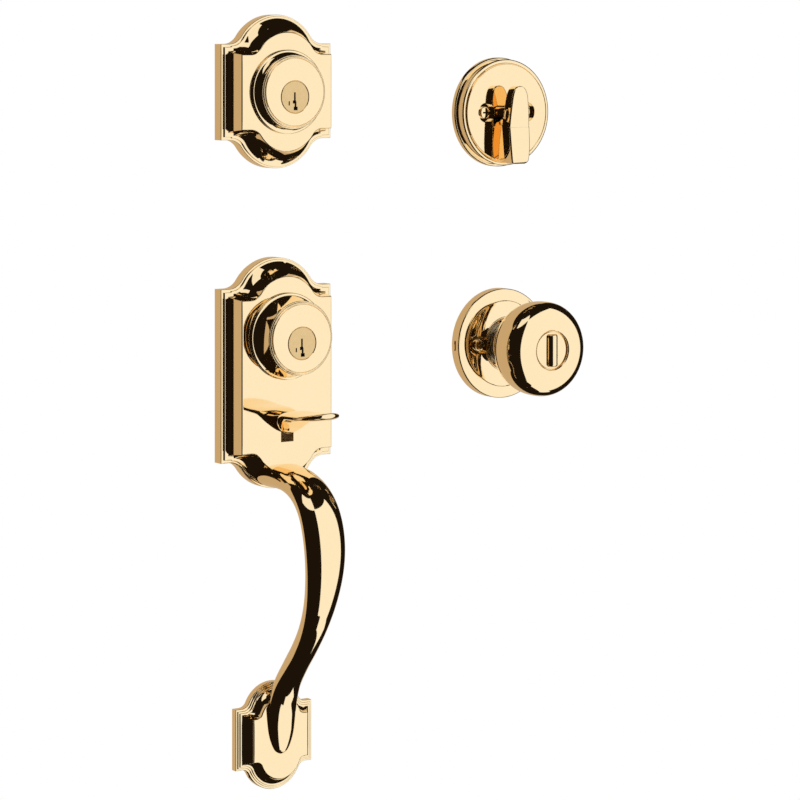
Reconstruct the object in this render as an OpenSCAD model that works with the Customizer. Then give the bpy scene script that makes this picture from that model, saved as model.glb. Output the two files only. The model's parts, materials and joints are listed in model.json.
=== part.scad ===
// Entry door handleset in polished brass.
// Outside, on the left: a deadbolt cylinder trim above a keyed handle with a thumb piece.
// Inside, on the right: the deadbolt's turn piece above a locking knob.
// The origin is on the door's face, on the axis of the handle's key plug. +X runs to the right
// across the door, +Y runs into the door and +Z is up.
// Each assembly is drawn in a frame of its own: x to the right, y up, z out of the door.

/* [Door layout] */
// Height from the handle's cross bore to the deadbolt's
bore_spacing = 139.7; // [130:0.1:160]
// Distance from the outside column to the inside column
inside_x = 161; // [130:0.5:220]
// How far the inside column hangs below the outside one
inside_drop = 11.6; // [0:0.1:30]
// Height from the plug's axis to the centre of its drum
drum_rise = 2.8; // [2:0.1:3.5]

/* [Moulded plates] */
// Half the width of the large plates at the door
plate_half_w = 37; // [35:0.5:42]
// Half the width of their flat face
flat_half_w = 30.2; // [28:0.2:32]
// Height of a large plate's corner above the drum's centre
plate_corner = 27.4; // [26:0.2:30]
// Height of its flat face's corner
flat_corner = 21.4; // [20:0.2:23]
// Rise of the arch above the corner, at the door
plate_arch = 16.8; // [15:0.2:18]
// Rise of the flat face's arch
flat_arch = 12.8; // [12:0.2:14]
// Radius of the arch at the door
plate_arch_r = 28; // [26:0.5:32]
// Radius of the flat face's arch
flat_arch_r = 21.3; // [19:0.1:24]
// Radius of the hollow between arch and corner, at the door
plate_hollow_r = 10; // [8:0.5:12]
// Radius of that hollow on the flat face
flat_hollow_r = 8; // [6:0.5:10]
// Distance of the flat face from the door
plate_depth = 18.8; // [17:0.1:22]
// Height of the upright band round the edge
edge_band = 7; // [5:0.1:8]
// Height of the small step above that band
step_rise = 1.4; // [0.8:0.1:1.8]
// Radius of the softened edge round the flat faces
edge_soft = 0.6; // [0.4:0.1:0.9]
// Wall of the castings
casting_wall = 2.6; // [2:0.1:3.2]
// Depth of the large handle plate's lower corner below the drum's centre
handle_corner = 71.6; // [68:0.2:80]
// Depth of its flat face's lower corner
handle_flat_corner = 65.8; // [62:0.2:72]

/* [Base plate] */
// Distance from the drum's centre down to the base plate's centre
base_drop = 231; // [225:1:240]
// Half the width of the base plate at the door
base_half_w = 25.5; // [24:0.5:28]
// Half the width of its flat face
base_flat_half_w = 18.2; // [17:0.2:20]
// Height of its corner above its centre
base_corner = 17.5; // [16:0.1:19]
// Height of its flat face's corner
base_flat_corner = 12.4; // [11:0.1:14]
// Rise of its arch at the door
base_arch = 13.4; // [12:0.2:14]
// Rise of its flat face's arch
base_flat_arch = 11.2; // [10:0.2:12]
// Radius of its arch at the door
base_arch_r = 18.5; // [17:0.5:20]
// Radius of its flat face's arch
base_flat_arch_r = 13.5; // [12.5:0.5:15]
// Radius of its hollow at the door
base_hollow_r = 5; // [4:0.5:6]
// Radius of its flat face's hollow
base_flat_hollow_r = 4; // [3:0.5:5]
// Distance of its flat face from the door
base_depth = 12.1; // [11:0.1:14]
// Height of its upright band
base_edge_band = 4.2; // [3:0.1:5]

/* [Cylinder drums] */
// Radius of the deadbolt drum's foot bead
bolt_foot_r = 24.1; // [23.6:0.1:25]
// Radius of the handle drum's foot bead
entry_foot_r = 24.9; // [23.6:0.1:25.5]
// How far the deadbolt's drum stands out of the flat face
bolt_drum_out = 8.4; // [7:0.1:12]
// How far the handle's drum stands out of the flat face
entry_drum_out = 16; // [12:0.1:20]
// Radius of the front bead
front_r = 21.1; // [20.6:0.1:21.6]
// Radius of the drum's flat face
face_r = 19.2; // [18.6:0.1:19.4]
// Radius of the drum's body behind the plate
drum_body_r = 22.4; // [22:0.1:22.8]
// Radial play of the drum's body in its hole
drum_play = 0.2; // [0.1:0.05:0.3]
// Wall of the drum's body
drum_wall = 2.8; // [2:0.1:3.5]
// Distance of the deadbolt body's back from the door
bolt_body_back = 4; // [3.8:0.1:6]
// Distance of the handle cylinder body's back from the door
entry_body_back = 9; // [8.8:0.1:10]

/* [Key plug] */
// Radius of the plug
plug_r = 9.2; // [9:0.1:9.6]
// Radial running play of the plug
plug_play = 0.05; // [0.02:0.01:0.1]
// Length of the keyway
keyway_len = 21; // [20:0.5:22]
// Height of the keyway
keyway_h = 10.3; // [9:0.1:11]
// Number of key followers
follower_count = 5; // [3:1:5]
// Distance between followers
follower_pitch = 3.8; // [3.7:0.1:3.9]
// Radius of a follower
follower_r = 1.35; // [1.1:0.05:1.4]
// Play round the small parts inside the plug
inner_play = 0.12; // [0.08:0.01:0.16]
// Radius of the half-round blade behind the plug
blade_r = 3; // [2.6:0.1:3]
// How far the blades reach into the door
blade_reach = 38; // [30:1:60]

/* [Posts and screws] */
// Distance between the deadbolt's through screws
bolt_screw_spacing = 30; // [28:0.2:31]
// Distance between the handle's through screws
entry_screw_spacing = 37.4; // [36:0.2:39]
// Radius of a post
post_r = 4; // [3.8:0.1:4.2]
// Radius of the threaded hole in a post
post_bore_r = 2.05; // [1.9:0.05:2.2]
// How far the posts reach into the door
post_reach = 20; // [16:1:35]
// Radius of a through screw
screw_r = 1.95; // [1.8:0.05:2]
// Radius of a through screw's head
screw_head_r = 3.6; // [3.2:0.1:3.8]
// How far the through screws reach into the door
screw_reach = 15; // [12:1:40]

/* [Grip] */
// Roundness of the grip's section, 1 for an ellipse and less for a squarer one
grip_roundness = 1; // [0.7:0.05:1]

/* [Thumb piece] */
// Height of the thumb piece's slot below the plug's axis, at its top
slot_top = 40.6; // [39:0.1:42]
// Length of the slot
slot_len = 17; // [16:0.1:18]
// Width of the slot
slot_w = 8.4; // [8:0.1:9]
// Depth of the thumb piece's pivot below the plug's axis
pivot_drop = 48.6; // [48:0.1:49]
// Distance of the pivot from the door
pivot_out = 12.6; // [12.2:0.1:13]
// Radius of the pivot pin
pivot_r = 1.5; // [1.3:0.1:1.6]
// Distance from the pivot to the nose that lifts the slider
nose_arm = 7.4; // [7.2:0.1:7.6]
// Travel of the thumb piece in degrees
thumb_travel = 18; // [16:1:20]
// How far the thumb rest stands out of the flat face
rest_out = 44; // [42.5:0.5:47]
// Half the width of the thumb rest
rest_half_w = 12.5; // [11:0.5:14]

/* [Latch drive] */
// Radius at which the slider turns the spindle hub
crank_r = 5; // [4.8:0.1:5.2]
// Outer radius of the hub's tube
tube_r = 4.6; // [4.5:0.05:4.8]
// Inner radius of the hub's tube
tube_bore_r = 3.3; // [3.2:0.05:3.4]
// Thickness of the chassis plate
chassis_t = 1.6; // [1.4:0.1:1.8]
// Free length of the slider's spring as fitted
slider_spring_len = 10; // [9:0.5:11]
// Gap between parts that move past each other
moving_gap = 0.3; // [0.2:0.05:0.35]

/* [Inside turn] */
// Radius of both inside rosettes
rosette_r = 33; // [31:0.5:36]
// Radius of the turn rosette's flat face
turn_face_r = 30.4; // [29:0.1:31]
// Distance of that face from the door
turn_face_out = 10.6; // [10:0.1:12]
// Sheet thickness of the inside rosettes
sheet_t = 1.5; // [1.2:0.1:1.8]
// Distance of the turn piece's front from the door
turn_front = 25; // [24:0.5:28]
// Depth of the turn piece from front to back
turn_depth = 8.6; // [8:0.1:9]
// Height of the turn piece above its axis
turn_up = 16; // [14:0.5:17]
// Length of the turn piece below its axis
turn_down = 30.6; // [28:0.2:32]
// Half its greatest width
turn_half_w = 7.5; // [7:0.1:8]
// Radius of its shaft
turn_shaft_r = 4.6; // [4.5:0.1:5]

/* [Inside knob] */
// Radius of the knob
knob_r = 28; // [26:0.5:30]
// Distance of the knob's widest band from the door
knob_band_out = 40; // [39:0.5:42]
// Width of that band
knob_band_w = 7; // [6:0.5:8]
// Distance of the knob's front from the door
knob_front = 57.7; // [56.5:0.1:60]
// Radius of the recess in the knob's front
recess_r = 11.4; // [11:0.1:12]
// Depth of that recess
recess_depth = 3.2; // [3:0.1:3.6]
// Wall of the knob
knob_wall = 1.6; // [1.4:0.1:2]
// Radius of the knob's shank
shank_r = 10.4; // [10:0.1:10.8]
// Bore of the knob's shank
shank_bore_r = 6.4; // [6.2:0.1:6.6]
// Length of the turn button's bar
button_bar_len = 19; // [18:0.1:19.5]
// Thickness of that bar
button_bar_t = 6.4; // [5:0.2:7]

/* [Hidden] */
$fn = 64;

// A hair's overlap that keeps joined solids from only touching
join = 0.01;
// Overshoot of a cut past the face that it opens
cut = 1;

// Points on each half arch and each hollow of a plate's outline
arch_steps = 8;
hollow_steps = 5;
half_points = arch_steps + hollow_steps + 2;

// An outline holds: half width, upper corner, lower corner, rise of the arch, radii of arch and hollow
plate_line = [plate_half_w, plate_corner, plate_corner, plate_arch, plate_arch_r, plate_hollow_r];
flat_line = [flat_half_w, flat_corner, flat_corner, flat_arch, flat_arch_r, flat_hollow_r];
handle_line = [plate_half_w, plate_corner, handle_corner, plate_arch, plate_arch_r, plate_hollow_r];
handle_flat_line = [flat_half_w, flat_corner, handle_flat_corner, flat_arch, flat_arch_r, flat_hollow_r];
base_line = [base_half_w, base_corner, base_corner, base_arch, base_arch_r, base_hollow_r];
base_flat_line = [base_flat_half_w, base_flat_corner, base_flat_corner, base_flat_arch,
    base_flat_arch_r, base_flat_hollow_r];

drum_hole_r = drum_body_r + drum_play;
bolt_face = plate_depth + bolt_drum_out;
entry_face = plate_depth + entry_drum_out;
// The clip's groove and the plug's end, measured behind the body
clip_t = 0.9;
clip_gap = 0.2;
plug_tail = 2.2;
clip_groove_r = 7.2;
clip_r = 10.6;

// The followers stand above the keyway and end under the spring cover
keyway_top = 2.7;
follower_len = 3.2;
cover_y = 7.9;
cover_t = 0.8;
follower_first = 4.4;

// The base plate's centre, below the plug's axis
base_y = drum_rise - base_drop;

// Stations of the grip from top to bottom: distance from the door, height from the drum's centre,
// half width, half thickness
grip_stations = [
    [1.5, -79.6, 15.6, 8.0], [11, -80.0, 14.6, 7.6], [20, -80.4, 13.6, 7.2], [30, -81.8, 13.0, 7.0],
    [40, -85.4, 12.8, 7.0], [48, -91.2, 12.9, 7.0], [54, -99.4, 13.1, 7.0], [57.6, -110, 13.1, 7.0],
    [58.8, -122, 12.6, 6.9], [57.4, -135, 11.5, 6.8], [53.2, -149, 9.9, 6.7], [46.4, -162.5, 8.5, 6.6],
    [37.6, -175, 7.7, 6.5], [27.6, -187, 7.6, 6.4], [18.6, -199, 8.3, 6.1], [13.8, -211, 9.0, 5.2],
    [12.2, -223, 8.2, 3.9], [11.6, -233, 5.4, 2.3], [11.3, -239.6, 1.0, 0.9]
];
grip_ring_points = 20;
// How far the grip's tongue reaches below the base plate's centre
grip_foot_below = 8.6;

nose_r = 1.3;
nose_gap = 0.65;
nose_start = thumb_travel / 2;
lift = 2 * nose_arm * sin(nose_start);
crank_start = asin(lift / 2 / crank_r);
crank_pin_r = 1;
hub_r = 8;
chassis_back = 0.2;
chassis_front = chassis_back + chassis_t;
hub_back = chassis_front + moving_gap;
hub_t = 2.2;
hub_front = hub_back + hub_t;
slider_back = hub_front + moving_gap;
slider_t = 1.5;
slider_front = slider_back + slider_t;
slider_mid = (slider_back + slider_front) / 2;
slider_top = 9.5;
spring_x = 7;
spring_coil_r = 2;
spring_wire_r = 0.3;
spring_seat = slider_top + slider_spring_len;

// Play of a seated round part, and of a turning one
seat_play = 0.03;
running_play = 0.06;

// Side bar, code wafers and spring cover
mouth_chamfer = 0.3;
side_bar_t = 1.6;
side_bar_in = 5.4;
side_bar_len = follower_pitch * follower_count - 0.6;
wafer_t = 1.7;
wafer_in = 1.9;
wafer_out = 6.2;
wafer_low = -1.6;
wafer_h = 7.6;
cover_half_w = 1.9;
groove_w = clip_t + 0.05;

// Seats of the posts and feet of the handle's cylinder body
post_seat = 8;
post_seat_play = 0.03;
foot_x = 14;
foot_y = 13.5;
foot_boss_r = 3.4;
small_screw_r = 1.5;
small_screw_len = 7;
small_head_r = 2.7;
small_head_t = 1.4;

// Bosses, ears and stud behind the handle casting
boss_x = 21;
boss_y = -30;
boss_r = 3.6;
ear_x = 4.8;
ear_t = 2.4;
ear_h = 7;
stud_r = 3;
stud_seat_r = 2.5;
stud_boss_r = 6.5;
stud_reach = 30;
rivet_r = 2.9;
rivet_head_r = 4.4;
rivet_head_t = 1.2;

// Chassis plate with the slider's guides and the spring's ear
chassis_half_w = 27;
chassis_top = 22;
chassis_low = -62;
spring_ear_w = 6;
spring_ear_t = 1.5;
guide_t = 1.5;
guide_low = -34;
guide_len = 8;
slider_left = -5;
slider_right = 10;
journal_r = tube_r + 0.6;
tube_reach = 36;

// Plain neck of a through screw: how far behind the door's face the thread starts, and its relief
neck_start = 0.3;
neck_relief = 0.3;

// Inside turn
turn_recess_r = 6;
turn_recess_depth = 2.4;
backing_r = 27.5;
turn_clip_z = turn_face_out - sheet_t - 2.4;
turn_corner = 1.1;
turn_corner_steps = 3;

// Inside knob
knob_rim = 6.9;
bevel_r = 27;
bevel_out = knob_rim + 1.5;
hub_ring_r = 16.6;
hub_ring_out = 10.6;
guide_out = 16.4;
knob_plate_r = 27;
guide_r = 12.6;
knob_coil_r = 14.6;
knob_wire_r = 0.45;
knob_coil_len = 3.7;
knob_recess_r = 5.5;
knob_seat = 7.2;
shank_back = 1.9;
knob_clip_z = 2.6;
button_stem_r = 3;
button_disc_r = recess_r - 0.5;
spindle_disc_z = 20;
spindle_disc_t = 6;
spindle_half_w = 3.6;
spindle_bore_r = 2.2;

// Places one assembly's own frame on the door
module on_door(x, z) {
    translate([x, 0, z]) rotate([90, 0, 0]) children();
}

module on_bolt() { on_door(0, bore_spacing) children(); }
module on_entry() { on_door(0, 0) children(); }
module on_turn() { on_door(inside_x, bore_spacing - inside_drop) children(); }
module on_knob() { on_door(inside_x, -inside_drop) children(); }

// Outline of a moulded plate

function arc(centre, r, from, to, steps) =
    [for (i = [1:steps]) centre + r * [cos(from + (to - from) * i / steps), sin(from + (to - from) * i / steps)]];

// Half an end of the outline: corner, shoulder, hollow and arch, up to the apex
function half_end(half_w, corner, rise, arch_r, hollow_r) =
    let (
        up = arch_r + hollow_r - rise,
        shoulder_x = sqrt(pow(arch_r + hollow_r, 2) - pow(up, 2)),
        meet = atan2(up, shoulder_x)
    ) concat(
        [[half_w, corner], [shoulder_x, corner]],
        arc([shoulder_x, corner + hollow_r], hollow_r, 270, 180 + meet, hollow_steps),
        arc([0, corner + rise - arch_r], arch_r, meet, 90, arch_steps)
    );

function reversed(list) = [for (i = [len(list) - 1:-1:0]) list[i]];
function flipped_y(list) = [for (p = list) [p[0], -p[1]]];

// The right half from the lower apex to the upper one, then the left half back down
function outline(line) =
    let (
        upper = half_end(line[0], line[1], line[3], line[4], line[5]),
        lower = flipped_y(half_end(line[0], line[2], line[3], line[4], line[5])),
        right = concat(reversed(lower), upper),
        last = len(right) - 1
    ) concat(right, [for (i = [last - 1:-1:1]) [-right[i][0], right[i][1]]]);

function inset(line, by) =
    [line[0] - by, line[1] - by, line[2] - by, line[3], line[4] - by, line[5]];

function ring_at(outer, inner, t, height) =
    let (a = outline(outer), b = outline(inner)) [for (i = [0:len(a) - 1])
        [a[i][0] + (b[i][0] - a[i][0]) * t, a[i][1] + (b[i][1] - a[i][1]) * t, height]];

// Faces of the flat end of a ring that starts at point from, with its middle at point centre
function cap_faces(from, centre, up) =
    let (
        n = 4 * half_points - 2,
        low = half_points - 2,
        high = half_points + 1,
        mid = concat([for (i = [low:high]) i], [for (i = [high:-1:low]) n - i]),
        tris = concat(
            [[0, 1, n - 1]],
            [for (i = [1:low - 1]) each [[i, i + 1, n - i], [i + 1, n - i - 1, n - i]]],
            [for (i = [high:2 * half_points - 3]) each [[i, i + 1, n - i], [i + 1, n - i - 1, n - i]]],
            [[2 * half_points - 2, 2 * half_points - 1, 2 * half_points]]
        )
    ) concat(
        [for (f = tris) up ? [f[2] + from, f[1] + from, f[0] + from] : [f[0] + from, f[1] + from, f[2] + from]],
        [for (i = [0:7]) let (a = mid[i] + from, b = mid[(i + 1) % 8] + from)
            up ? [b, a, centre] : [a, b, centre]]
    );

// Closed surface through a stack of rings with flat ends
module ring_stack(rings) {
    n = len(rings[0]);
    count = len(rings);
    first_mid = [0, 0, rings[0][0][2]];
    last_mid = [0, 0, rings[count - 1][0][2]];
    points = concat([for (r = rings) each r], [first_mid, last_mid]);
    sides = [for (k = [0:count - 2], i = [0:n - 1]) each [
        [k * n + i, k * n + n + i, k * n + (i + 1) % n],
        [k * n + (i + 1) % n, k * n + n + i, k * n + n + (i + 1) % n]
    ]];
    polyhedron(points, concat(
        sides,
        cap_faces(0, n * count, false),
        cap_faces(n * (count - 1), n * count + 1, true)
    ));
}

// A moulding holds, from the door outwards, how far in each ring lies and its height
function moulding(band, depth) =
    let (
        cove = band + step_rise + 0.1,
        cove_in = 0.34,
        start = 30,
        high = depth - edge_soft
    ) concat(
        [[0, 0], [0, band], [0.06, band + 0.7 * step_rise], [0.16, band + step_rise],
            [0.27, band + 0.85 * step_rise], [0.31, band + 0.5 * step_rise]],
        [for (a = [start:12:90]) [cove_in + (1 - cove_in) * (sin(a) - sin(start)) / (1 - sin(start)),
            high - (high - cove) * cos(a) / cos(start)]]
    );

// A cast plate: a moulded cup with an even wall and a flat face
module moulded_plate(line, face_line, band, depth) {
    inner_line = inset(line, casting_wall + 0.6);
    inner_face = inset(face_line, casting_wall);
    ledge = band - 2.2;
    rings = concat(
        [
            ring_at(inner_face, inner_face, 0, depth - casting_wall),
            ring_at(inner_face, inner_face, 0, ledge + 1),
            ring_at(inner_line, inner_line, 0, ledge),
            ring_at(inner_line, inner_line, 0, 0)
        ],
        [for (p = moulding(band, depth)) ring_at(line, face_line, p[0], p[1])],
        [for (a = [45, 90]) let (edge = inset(face_line, edge_soft * (1 - cos(a))))
            ring_at(edge, edge, 0, depth - edge_soft * (1 - sin(a)))]
    );
    ring_stack(rings);
}

// Superellipse ring of a half width and a half thickness
function oval(half_w, half_t, roundness, n) =
    [for (i = [0:n - 1]) let (c = cos(360 * i / n), s = sin(360 * i / n))
        [half_w * sign(c) * pow(abs(c), roundness), half_t * sign(s) * pow(abs(s), roundness)]];

// Height of a station: the root stays at the large plate and the foot follows the base plate
function grip_height(s) =
    let (root = grip_stations[0][1], foot = grip_stations[len(grip_stations) - 1][1])
        root + (s[1] - root) * (base_drop + grip_foot_below + root) / (root - foot);

// Direction of the grip at a station, as an angle in the upright plane
function grip_angle(i) =
    let (a = grip_stations[max(i - 1, 0)], b = grip_stations[min(i + 1, len(grip_stations) - 1)])
        atan2(grip_height(b) - grip_height(a), b[0] - a[0]);

// Closed frustum between two rings with the same number of points
module frustum(a, b) {
    n = len(a);
    polyhedron(concat(a, b), concat(
        [[for (i = [n - 1:-1:0]) i], [for (i = [0:n - 1]) n + i]],
        [for (i = [0:n - 1]) [i, (i + 1) % n, n + (i + 1) % n, n + i]]
    ));
}

// Smooth solid through convex rings, one convex stretch from each ring to the next
module lofted(rings) {
    for (i = [0:len(rings) - 2]) {
        hull() frustum(rings[i], rings[i + 1]);
    }
}

// Ring of the grip in its own upright plane, square to its path
function grip_ring(i) =
    let (s = grip_stations[i], a = grip_angle(i))
        [for (p = oval(s[2], s[3], grip_roundness, grip_ring_points))
            [p[0], grip_height(s) + p[1] * cos(a), s[0] - p[1] * sin(a)]];

module grip() {
    lofted([for (i = [0:len(grip_stations) - 1]) grip_ring(i)]);
}

// Cylinder drums

// Profile of a drum in front of the plate: foot bead, waist, front bead and flat face
module drum_profile(foot_r, out) {
    foot_h = 1.9;
    foot_bead = 0.8;
    bead = 1.3;
    groove = 0.35;
    waist_bottom = foot_r - 1.5;
    waist_top = front_r - 0.9;
    difference() {
        union() {
            square([foot_r - foot_bead, foot_h]);
            translate([foot_r - foot_bead, foot_h / 2]) circle(r = foot_h / 2 - 0.1);
            polygon([[0, 0], [waist_bottom, 0], [waist_bottom, foot_h + 0.5], [waist_top, out - 2 * bead],
                [waist_top, out - bead], [0, out - bead]]);
            translate([front_r - bead, out - bead]) circle(r = bead);
            translate([0, out - bead - join]) square([front_r - bead, bead + join]);
        }
        translate([face_r - groove, out - groove]) square([groove, groove + cut]);
    }
}

module cylinder_body(foot_r, out, back, screw_spacing, feet) {
    front = plate_depth + out;
    housing_r = 12.4;
    web = 3;
    post_boss_r = post_r + 1.8;
    hollow_h = front - back - drum_wall - 1 + cut;
    difference() {
        union() {
            difference() {
                translate([0, drum_rise, 0]) union() {
                    translate([0, 0, plate_depth]) rotate_extrude() drum_profile(foot_r, out);
                    translate([0, 0, back]) cylinder(r = drum_body_r, h = plate_depth - back + join);
                }
                translate([0, drum_rise, back - cut])
                    cylinder(r = drum_body_r - drum_wall, h = plate_depth - back - drum_wall + cut);
                translate([0, drum_rise, back - cut]) cylinder(r = waist_bore(foot_r), h = hollow_h);
            }
            translate([0, 0, back]) cylinder(r = housing_r, h = front - back - 2);
            intersection() {
                translate([0, drum_rise, back]) cylinder(r = drum_body_r - join, h = plate_depth - back);
                union() {
                    translate([-drum_body_r, -web / 2, back]) cube([2 * drum_body_r, web, plate_depth - back]);
                    if (screw_spacing > 0) {
                        for (side = [-1, 1]) {
                            translate([side * screw_spacing / 2, 0, back])
                                cylinder(r = post_boss_r, h = plate_depth - back);
                        }
                    }
                }
            }
            if (feet) {
                for (side = [-1, 1]) {
                    translate([side * foot_x, foot_y, chassis_front])
                        cylinder(r = foot_boss_r, h = plate_depth - chassis_front);
                }
            }
        }
        translate([0, 0, back - cut]) cylinder(r = plug_r + plug_play, h = front - back + 2 * cut);
        translate([0, 0, front - mouth_chamfer])
            cylinder(r1 = plug_r + plug_play, r2 = plug_r + plug_play + 2 * mouth_chamfer, h = 2 * mouth_chamfer);
        translate([-plug_r - 1, 0, back - cut]) rotate([0, 0, 45])
            cube([side_bar_t, side_bar_t, 2 * (front - back - 4)], center = true);
        if (screw_spacing > 0) {
            for (side = [-1, 1]) {
                translate([side * screw_spacing / 2, 0, back - cut])
                    cylinder(r = post_r + post_seat_play, h = post_seat + cut);
            }
        }
        if (feet) {
            for (side = [-1, 1]) {
                translate([side * foot_x, foot_y, chassis_front - cut])
                    cylinder(r = small_screw_r + 0.05, h = small_screw_len + cut);
            }
        }
    }
}

function waist_bore(foot_r) = min(foot_r - 1.5, front_r - 0.9) - drum_wall;

// Key plug and what it holds

// Warded outline of the keyway, from its foot up
module keyway() {
    low = keyway_top - keyway_h;
    step = keyway_h / 4;
    ward = 0.7;
    translate([-0.9, low]) square([2.6, step * 0.8]);
    translate([-0.3, low]) square([1.2, step * 1.9]);
    translate([-1.5, low + step * 1.5]) square([2.2, step * 0.7]);
    translate([-ward, low + step * 1.5]) square([1.1, step * 2.5]);
}

module plug(face, back) {
    end = back - plug_tail;
    deep = face - keyway_len;
    difference() {
        union() {
            translate([0, 0, end]) cylinder(r = plug_r, h = face - mouth_chamfer - end);
            translate([0, 0, face - mouth_chamfer - join])
                cylinder(r1 = plug_r, r2 = plug_r - mouth_chamfer, h = mouth_chamfer + join);
        }
        translate([0, 0, deep]) linear_extrude(keyway_len + cut) keyway();
        translate([-4.3, -4.8, face - 12]) cube([0.8, 2.4, 12 + cut]);
        translate([0, 0, back - clip_gap - groove_w]) difference() {
            cylinder(r = plug_r + cut, h = groove_w);
            translate([0, 0, -cut]) cylinder(r = clip_groove_r, h = groove_w + 2 * cut);
        }
        blade_section(end - cut, 3 + cut, blade_r + 0.04);
        for (i = [0:follower_count - 1]) {
            translate([0, keyway_top - 1, follower_z(face, i)]) rotate([-90, 0, 0])
                cylinder(r = follower_r + inner_play, h = cover_y - keyway_top + 1 + join);
            translate([-wafer_out - inner_play, wafer_low - inner_play, follower_z(face, i) - wafer_t / 2 - inner_play])
                cube([wafer_out - wafer_in + 2 * inner_play, wafer_h + 2 * inner_play, wafer_t + 2 * inner_play]);
        }
        translate([-cover_half_w - 0.05, cover_y, follower_z(face, follower_count - 1) - follower_pitch / 2 - 0.05])
            cube([2 * cover_half_w + 0.1, plug_r, follower_pitch * follower_count + 0.1]);
        translate([-plug_r - cut, -side_bar_t / 2 - inner_play, side_bar_low(face) - inner_play])
            cube([plug_r + cut - side_bar_in + inner_play, side_bar_t + 2 * inner_play,
                side_bar_len + 2 * inner_play]);
    }
}

function follower_z(face, i) = face - follower_first - follower_pitch * i;
function side_bar_low(face) = follower_z(face, follower_count - 1) - follower_pitch / 2 + 0.3;

module blade_section(from, len, r) {
    translate([0, 0, from]) intersection() {
        cylinder(r = r, h = len);
        translate([-r, -r, 0]) cube([2 * r, 1.45 * r, len]);
    }
}

module key_followers(face) {
    for (i = [0:follower_count - 1]) {
        translate([0, keyway_top + 0.1, follower_z(face, i)]) rotate([-90, 0, 0]) {
            cylinder(r1 = follower_r - 0.5, r2 = follower_r, h = 0.5);
            translate([0, 0, 0.5]) cylinder(r = follower_r, h = follower_len - 0.5);
        }
    }
}

// Coil along +z: turns of round wire as one closed tube
module coil(coil_r, wire_r, height, turns) {
    sides = 4;
    per_turn = 8;
    steps = per_turn * turns;
    points = [for (k = [0:steps], j = [0:sides - 1])
        let (a = 360 * k / per_turn, b = 360 * j / sides, r = coil_r + wire_r * cos(b))
            [r * cos(a), r * sin(a), wire_r + (height - 2 * wire_r) * k / steps + wire_r * sin(b)]];
    walls = [for (k = [0:steps - 1], j = [0:sides - 1]) each [
        [k * sides + j, (k + 1) * sides + j, k * sides + (j + 1) % sides],
        [k * sides + (j + 1) % sides, (k + 1) * sides + j, (k + 1) * sides + (j + 1) % sides]
    ]];
    start = [for (j = [0:sides - 1]) j];
    end = [for (j = [sides - 1:-1:0]) steps * sides + j];
    polyhedron(points, concat(walls, [start, end]));
}

module follower_springs(face) {
    base = keyway_top + 0.1 + follower_len + 0.05;
    for (i = [0:follower_count - 1]) {
        translate([0, base, follower_z(face, i)]) rotate([-90, 0, 0])
            coil(follower_r - 0.4, 0.16, cover_y - base - 0.05, 3);
    }
}

module spring_cover(face) {
    translate([-cover_half_w, cover_y + 0.02, follower_z(face, follower_count - 1) - follower_pitch / 2])
        cube([2 * cover_half_w, cover_t, follower_pitch * follower_count]);
}

module code_wafers(face) {
    for (i = [0:follower_count - 1]) {
        translate([0, 0, follower_z(face, i) - wafer_t / 2]) difference() {
            translate([-wafer_out, wafer_low, 0]) cube([wafer_out - wafer_in, wafer_h, wafer_t]);
            translate([-wafer_out - cut, -side_bar_t / 2 - inner_play, -cut])
                cube([wafer_out - side_bar_in + inner_play + cut, side_bar_t + 2 * inner_play, wafer_t + 2 * cut]);
        }
    }
}

module side_bar(face) {
    crown = 0.5;
    tip = plug_r - 0.15;
    translate([0, 0, side_bar_low(face)]) linear_extrude(side_bar_len)
        polygon([[-side_bar_in, -side_bar_t / 2], [-side_bar_in, side_bar_t / 2],
            [-tip + crown, side_bar_t / 2], [-tip, side_bar_t / 4], [-tip, -side_bar_t / 4],
            [-tip + crown, -side_bar_t / 2]]);
}

// Open spring ring that snaps into a groove
module snap_ring(groove_r, outer_r, thickness, from) {
    mouth = 0.75 * groove_r;
    translate([0, 0, from]) difference() {
        cylinder(r = outer_r, h = thickness);
        translate([0, 0, -cut]) cylinder(r = groove_r + 0.02, h = thickness + 2 * cut);
        translate([-mouth, -outer_r - cut, -cut]) cube([2 * mouth, outer_r + cut, thickness + 2 * cut]);
    }
}

module plug_clip(back) {
    snap_ring(clip_groove_r, clip_r, clip_t, back - clip_gap - clip_t);
}

module torque_blade(back) {
    blade_section(-blade_reach, blade_reach + back - plug_tail + 2.9, blade_r);
}

// Nodes of the deadbolt's outside

module deadbolt_rosette() {
    color("#e6bf73") on_bolt() difference() {
        translate([0, drum_rise, 0]) moulded_plate(plate_line, flat_line, edge_band, plate_depth);
        translate([0, drum_rise, -cut]) cylinder(r = drum_hole_r, h = plate_depth + 2 * cut);
    }
}

module deadbolt_cylinder_body() {
    color("#e6bf73") on_bolt()
        cylinder_body(bolt_foot_r, bolt_drum_out, bolt_body_back, bolt_screw_spacing, false);
}

module deadbolt_plug() {
    color("#c8a55e") on_bolt() plug(bolt_face, bolt_body_back);
}

module deadbolt_key_followers() {
    color("#b98e45") on_bolt() key_followers(bolt_face);
}

module deadbolt_follower_springs() {
    color("silver") on_bolt() follower_springs(bolt_face);
}

module deadbolt_spring_cover() {
    color("#b98e45") on_bolt() spring_cover(bolt_face);
}

module deadbolt_code_wafers() {
    color("#b9b9b4") on_bolt() code_wafers(bolt_face);
}

module deadbolt_side_bar() {
    color("#b98e45") on_bolt() side_bar(bolt_face);
}

module deadbolt_plug_clip() {
    color("silver") on_bolt() plug_clip(bolt_body_back);
}

module deadbolt_torque_blade() {
    color("#b9b9b4") on_bolt() torque_blade(bolt_body_back);
}

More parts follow.
